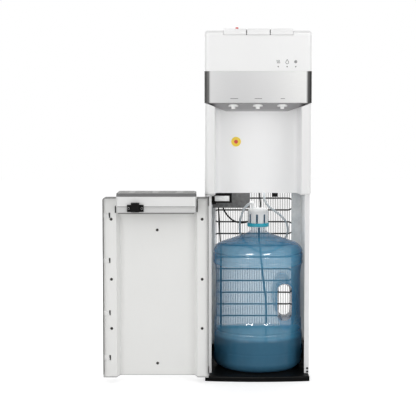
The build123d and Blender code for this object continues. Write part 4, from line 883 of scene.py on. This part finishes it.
def drawn(lines, width):
    """Raised lines on the head's front: a low ellipse carried along each run of (x, z) points."""
    parts = []
    for points, closed in lines:
        points = np.asarray(points, float)
        path = np.column_stack([points[:, 0], np.full(len(points), HEAD_FRONT), points[:, 1]])
        parts.append(carried(path, ring(width, 8, INK_PROUD), closed))
    return parts


def heat_sign(x, z):
    """Three upright waves 3.4 mm apart: x = place + 0.9 mm sin(2 pi t), z rising 9.6 mm with t."""
    t = np.linspace(0, 1, 24)
    return [(np.column_stack([x + shift + 0.0009 * np.sin(2 * pi * t), z - 0.0048 + 0.0096 * t]),
             False) for shift in (-0.0034, 0.0, 0.0034)]


def drop_sign(x, z):
    """Drop outline: a circle whose upper half is drawn up to a point."""
    a = circle(48)
    top = np.clip(np.cos(a), 0, 1) ** 3
    return [(np.column_stack([x + 0.0042 * np.sin(a) * (1 - 0.75 * top),
                              z - 0.0016 + 0.0046 * np.cos(a) + 0.0034 * top]), True)]


def frost_sign(x, z):
    """Snowflake: six arms of 4.6 mm round the middle, each with a pair of barbs 2.6 mm out."""
    lines = []
    middle = np.array([x, z])
    t = np.linspace(0, 1, 6)[:, None]
    for angle in np.arange(6) * pi / 3:
        out = np.array([np.sin(angle), np.cos(angle)])
        side = np.array([out[1], -out[0]])
        lines.append((middle + out * 0.0046 * t, False))
        lines += [(middle + out * 0.0026 + (out * 0.0014 + hand * side * 0.0014) * t, False)
                  for hand in (-1, 1)]
    return lines


ink_grey = printed_ink("ink_grey", 0.10)
signs = heat_sign(LAMP_X[0], SIGN_Z) + drop_sign(LAMP_X[1], SIGN_Z) + frost_sign(LAMP_X[2], SIGN_Z)
fitted("lamp_signs", drawn(signs, INK_WIDTH), ink_grey, "cabinet", 60.0)
dashes = [([(x - half, DASH_Z), (x, DASH_Z), (x + half, DASH_Z)], False) for x, half in DASHES]
fitted("tap_dashes", drawn(dashes, DASH_WIDTH), ink_grey, "cabinet", 60.0)


# ------------------------------------------------------------------ round spot in the recess
SPOT_X = -0.0618
SPOT_Z = 0.7044
SPOT_RADIUS = 0.0145
SPOT_MIDDLE_RADIUS = 0.0058
SPOT_MIDDLE_FACE = RECESS_BACK - 0.0005
SUNK = 0.0004


def disc(centre, radius, thickness):
    """Low disc facing the front, turned about Y, with a quarter-round rim and its back sunk in."""
    t = np.linspace(0, pi / 2, 8)
    rim_radius = radius - thickness + thickness * np.sin(t)
    rim_height = -thickness * np.cos(t)
    radii = np.concatenate([[0, radius * 0.5], rim_radius, [radius, 0]])
    heights = np.concatenate([[-thickness, -thickness], rim_height, [SUNK, SUNK]])
    return turned(radii, heights, centre, axis="Y")


spot_yellow = moulded_plastic("spot_yellow", (0.90, 0.64, 0.035), 0.35, 0.00002, 0.0003)
spot_red = moulded_plastic("spot_red", (0.62, 0.05, 0.03), 0.35, 0.00002, 0.0003)
spot = disc((SPOT_X, RECESS_BACK, SPOT_Z), SPOT_RADIUS, 0.0006)
spot_middle = disc((SPOT_X, SPOT_MIDDLE_FACE, SPOT_Z), SPOT_MIDDLE_RADIUS, 0.0005)
fitted("round_spot", [spot], spot_yellow, "cabinet", 50.0)
fitted("spot_middle", [spot_middle], spot_red, "cabinet", 50.0)


# ------------------------------------------------------------------ screws
CROSS_DEPTH = 0.0010
CROSS_HALF_WIDTH = 0.00045
CROSS_REACH = 0.0022
HEAD_BACK = -0.0003
# Where a head's own p, q and height point, for each way that it faces
FACING = {"-Y": [(1, 0, 0), (0, 0, 1), (0, -1, 0)], "+Y": [(-1, 0, 0), (0, 0, 1), (0, 1, 0)]}
COVER_SCREWS = [(x, REAR + 0.001, z) for x in (-0.134, 0.134)
                for z in (0.590, 0.690, 0.800, 0.910, 0.990)]
DOOR_SCREWS = [(x, STRIP_FACE, z) for x in (-0.1626, -0.4274) for z in (0.1605, 0.3055, 0.4815)]
DOOR_SCREWS += [(-0.2945, LINER_FACE, z) for z in (0.0520, 0.4475)]


def screw_head(centre, facing, radius=0.0036, rise=0.0019):
    """Pan-head screw: a dome over the disc r <= R, less a cross pressed in near the middle.

    Height is rise * (1 - (r / R) ** 4) ** 0.5, less the cross's depth where the smaller of |p| and
    |q| is under its half width and r under its reach, with soft sides.
    """
    sides = 48
    share = np.linspace(0, 1, 22)[:, None]
    angle = circle(sides)[None]
    p, q = radius * share * np.cos(angle), radius * share * np.sin(angle)
    dome = rise * np.sqrt(np.clip(1 - share ** 4, 0, 1))
    narrow = 1 + np.exp((np.minimum(np.abs(p), np.abs(q)) - CROSS_HALF_WIDTH) / 0.00008)
    near = 1 + np.exp((radius * share - CROSS_REACH) / 0.0001)
    height = dome - CROSS_DEPTH / narrow / near * (share < 0.99)
    base = np.stack([p[-1:], q[-1:], np.full((1, sides), HEAD_BACK)], -1)
    pole = np.broadcast_to([[[0.0, 0.0, HEAD_BACK]]], (1, sides, 3))
    flat = np.concatenate([np.stack([p, q, height], -1), base, pole])
    return skin(flat @ np.array(FACING[facing], float) + np.asarray(centre, float))


fitted("cover_screws", [screw_head(place, "+Y") for place in COVER_SCREWS],
       bright_steel("screw_zinc", (0.55, 0.55, 0.54)), "cabinet", 30.0)
liner_screws = fitted("liner_screws",
                      [screw_head(place, "-Y", 0.0042, 0.0021) for place in DOOR_SCREWS],
                      special_finishes["door_screws"], "door", 30.0)
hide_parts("door_screws")


# ------------------------------------------------------------------ trim
SEAM_LOW, SEAM_HIGH = 0.5214, 0.5232
TAB_Z = (0.0740, 0.2065, 0.3605, 0.4930)
LUG_X = (LATCH_X - 0.01875, LATCH_X + 0.01875)
LUG_FACE, LUG_Z = -0.2387, 0.5178
HOLE_SHADE_X = (-0.1503, 0.1503)
HOLE_SHADE_Z = (0.0195, 0.0293)


def block(low, high, corner):
    """Rounded bar between two corners.

    Its section across X and Z is a rounded rectangle, drawn in by c (1 - sin t) near its front and
    back faces as it goes c (1 - cos t) deep, t from 0 to a quarter turn.
    """
    segments = 4
    low, high = np.asarray(low, float), np.asarray(high, float)
    half = (high - low) / 2
    turn = (np.arange(4 * segments) + 0.5) / (4 * segments) * 2 * pi
    t = np.linspace(0, pi / 2, segments)
    inset = corner * (1 - np.sin(t))
    depth = corner * (1 - np.cos(t))
    inset = np.concatenate([inset, inset[::-1]])[:, None]
    places = np.concatenate([-half[1] + depth, (half[1] - depth)[::-1]])[:, None]
    across = np.sign(np.cos(turn)) * (half[0] - corner) + (corner - inset) * np.cos(turn)
    upward = np.sign(np.sin(turn)) * (half[2] - corner) + (corner - inset) * np.sin(turn)
    rows = np.stack([across, np.broadcast_to(places, across.shape), upward], -1)
    return skin(capped(rows, (0, -half[1], 0), (0, half[1], 0)) + (high + low) / 2)


def torus(centre, radius, tube):
    """Ring in the plane facing the front: (R + r cos v) round u, r sin v deep."""
    u, v = circle(32)[:, None], circle(12)[None]
    reach = radius + tube * np.cos(v)
    rows = np.stack([reach * np.cos(u), tube * np.sin(v) + 0 * u, reach * np.sin(u)], -1)
    return skin(rows + np.asarray(centre), closed=True)


shadow_rubber = black_shell("painted_shade_rubber", 0.020, 0.6)
shade_strip_grey = moulded_plastic("painted_shade_grey", (0.17, 0.17, 0.165), 0.55)
tab_white = moulded_plastic("tab_white", (0.80, 0.80, 0.79), 0.36, 0.00003, 0.0008)
# Painted light: the edging is whiter than the tabs, for light in the shade by the open door.
lit_edging_white = moulded_plastic("lit_edging_white", (0.94, 0.94, 0.935), 0.36, 0.00003, 0.0008)
eyelet_steel = bright_steel("eyelet_steel", (0.32, 0.32, 0.32))
# Painted light: the rear lip is in a zinc lighter than the other zinc, for light in the shaded bay.
lit_lip_sheet = galvanised("lit_lip_sheet", 0.80, 0.66)

# Painted shade at the drip tray's holder: a grey strip under it for the shade of its underside, a
# grey strip in its seam, and near-black blocks at its ends for the shade in the gaps there.
underside_shade = block((HOLDER_LEFT + 0.006, -0.2330, HOLDER_FLOOR - 0.0030),
             (HOLDER_RIGHT - 0.006, -0.1890, HOLDER_FLOOR), 0.0012)
seam = block((HOLDER_LEFT + 0.004, HOLDER_FACE - 0.0003, SEAM_LOW),
             (HOLDER_RIGHT - 0.004, HOLDER_FACE + 0.0006, SEAM_HIGH), 0.0003)
end_shades = [block((HOLDER_LEFT - 0.0034, -0.2280, 0.5040),
               (HOLDER_LEFT - 0.0001, -0.1870, 0.5230), 0.0008),
         block((HOLDER_RIGHT + 0.0001, -0.2300, 0.5060),
               (HOLDER_RIGHT + 0.0034, -0.1870, 0.5420), 0.0008)]
fitted("holder_underside_shade", [underside_shade], shade_strip_grey, "door")
fitted("holder_seam_shade", [seam], shade_strip_grey, "door")
fitted("holder_end_shades", end_shades, shadow_rubber, "door")

# Snap tabs that hold the liner along the door's free edge, each with a thin foot beside it
tabs = [block((-0.4518, -0.1868, z - 0.0070), (-0.4395, -0.1835, z + 0.0070), 0.0010)
        for z in TAB_Z]
tabs += [block((-0.4392, -0.1851, z - 0.0076), (-0.4336, -0.1838, z - 0.0010), 0.0004)
         for z in TAB_Z]
fitted("snap_tabs", tabs, tab_white, "door")

# Eyelets in the latch's lugs, and black discs on the side panels' front flanges: painted shade for
# holes there.
eyelets = [torus((x, LUG_FACE, LUG_Z), 0.0030, 0.0006) for x in LUG_X]
hole_shades = [disc((x, FLANGE_FACE, z), 0.0034, 0.0012) for x in HOLE_SHADE_X for z in HOLE_SHADE_Z]
fitted("latch_eyelets", eyelets, eyelet_steel, "door")
fitted("flange_hole_shades", hole_shades, shadow_rubber, "cabinet", 50.0)

# Edging beside the hinges, and the lip of the left side panel at the rear, both in tones painted
# light where they lie in shade.
edging = block((-0.1545, -0.1326, 0.0160), (-0.1350, -0.1298, 0.5505), 0.0010)
lip = block((-0.1270, 0.1490, 0.0200), (-0.1202, 0.1502, 0.5500), 0.0004)
fitted("hinge_edging", [edging], lit_edging_white, "cabinet")
fitted("rear_lip", [lip], lit_lip_sheet, "cabinet")


# ------------------------------------------------------------------ floor, light and hand-over
FLOOR_REACH = 9.0
FLOOR_TONE = 0.86
FLOOR_TONE_SEEN = 0.62
FLOOR_GLOW = 0.57
ROOM_LIGHT = 0.74
LIT_POINT = (0.0, -0.15, 0.50)
UNDER_SHELF = (0.0, 0.02, 0.0)
# Name, place, point aimed at, width and height, watts, lights matt surfaces, shows in gloss
LAMPS = [
    ("left_lamp", (-2.05, -2.60, 1.00), LIT_POINT, (1.3, 1.5), 14.5, True, True),
    ("right_lamp", (1.95, -2.60, 1.00), LIT_POINT, (1.3, 1.5), 14.5, True, True),
    ("rear_left_lamp", (-1.60, 2.10, 0.95), LIT_POINT, (1.4, 1.2), 12, True, True),
    ("rear_right_lamp", (1.60, 2.10, 0.95), LIT_POINT, (1.4, 1.2), 12, True, True),
    ("left_glint", (-0.97, -2.15, 1.71), LIT_POINT, (0.8, 0.45), 45, False, True),
    ("right_glint", (0.92, -2.19, 1.71), LIT_POINT, (0.8, 0.45), 45, False, True),
    ("bay_lamp", (0.0, 0.02, 0.546), UNDER_SHELF, (0.22, 0.14), 0.21, True, False),
]


def lay_floor():
    """White floor: plain diffuse for the light, lifted for the camera so that only shadow shows."""
    finish = Finish("floor_white")
    seen = finish.node("ShaderNodeLightPath", {}, {}, "Is Camera Ray")
    matt = finish.node("ShaderNodeBsdfDiffuse", {}, {"Color": grey(FLOOR_TONE)})
    shown = finish.node("ShaderNodeBsdfDiffuse", {}, {"Color": grey(FLOOR_TONE_SEEN)})
    glow = finish.node("ShaderNodeEmission", {}, {"Color": grey(1.0), "Strength": FLOOR_GLOW})
    lifted = finish.node("ShaderNodeAddShader", {}, {0: shown, 1: glow})
    both = finish.node("ShaderNodeMixShader", {}, {0: seen, 1: matt, 2: lifted})
    finish.node("ShaderNodeOutputMaterial", {}, {"Surface": both})
    mesh = bpy.data.meshes.new("floor")
    corners = np.array([(-1, -1, 0), (1, -1, 0), (1, 1, 0), (-1, 1, 0)]) * FLOOR_REACH
    mesh.from_pydata(corners, [], [(0, 1, 2, 3)])
    mesh.materials.append(finish.owner)
    linked("floor", mesh)


def light_room():
    """Even surroundings, seen as white by the camera and in gloss and glass, and the lamps.

    Broad lamps stand in front and behind, the glints are lamps that only gloss shows, and a faint
    lamp under the machine shelf opens up the bay.
    """
    room = Finish("room", "worlds")
    bpy.context.scene.world = room.owner
    camera, glossy, through = [room.node("ShaderNodeLightPath", {}, {}, ray) for ray in
                               ("Is Camera Ray", "Is Glossy Ray", "Is Transmission Ray")]
    strength = ROOM_LIGHT + camera.most(glossy).most(through) * (1.0 - ROOM_LIGHT)
    background = room.node("ShaderNodeBackground", {}, {"Color": grey(1.0), "Strength": strength})
    room.node("ShaderNodeOutputWorld", {}, {"Surface": background})
    for name, place, aim, size, watts, matt, gloss in LAMPS:
        data = bpy.data.lights.new(name, "AREA")
        data.shape = "RECTANGLE"
        data.size, data.size_y = size
        data.energy = watts
        lamp = linked(name, data)
        lamp.visible_camera = False
        lamp.visible_diffuse, lamp.visible_glossy = matt, gloss
        lamp.location = place
        lamp.rotation_euler = (Vector(place) - Vector(aim)).to_track_quat("Z", "Y").to_euler()


lay_floor()
light_room()
bpy.context.scene.view_settings.view_transform = "Standard"
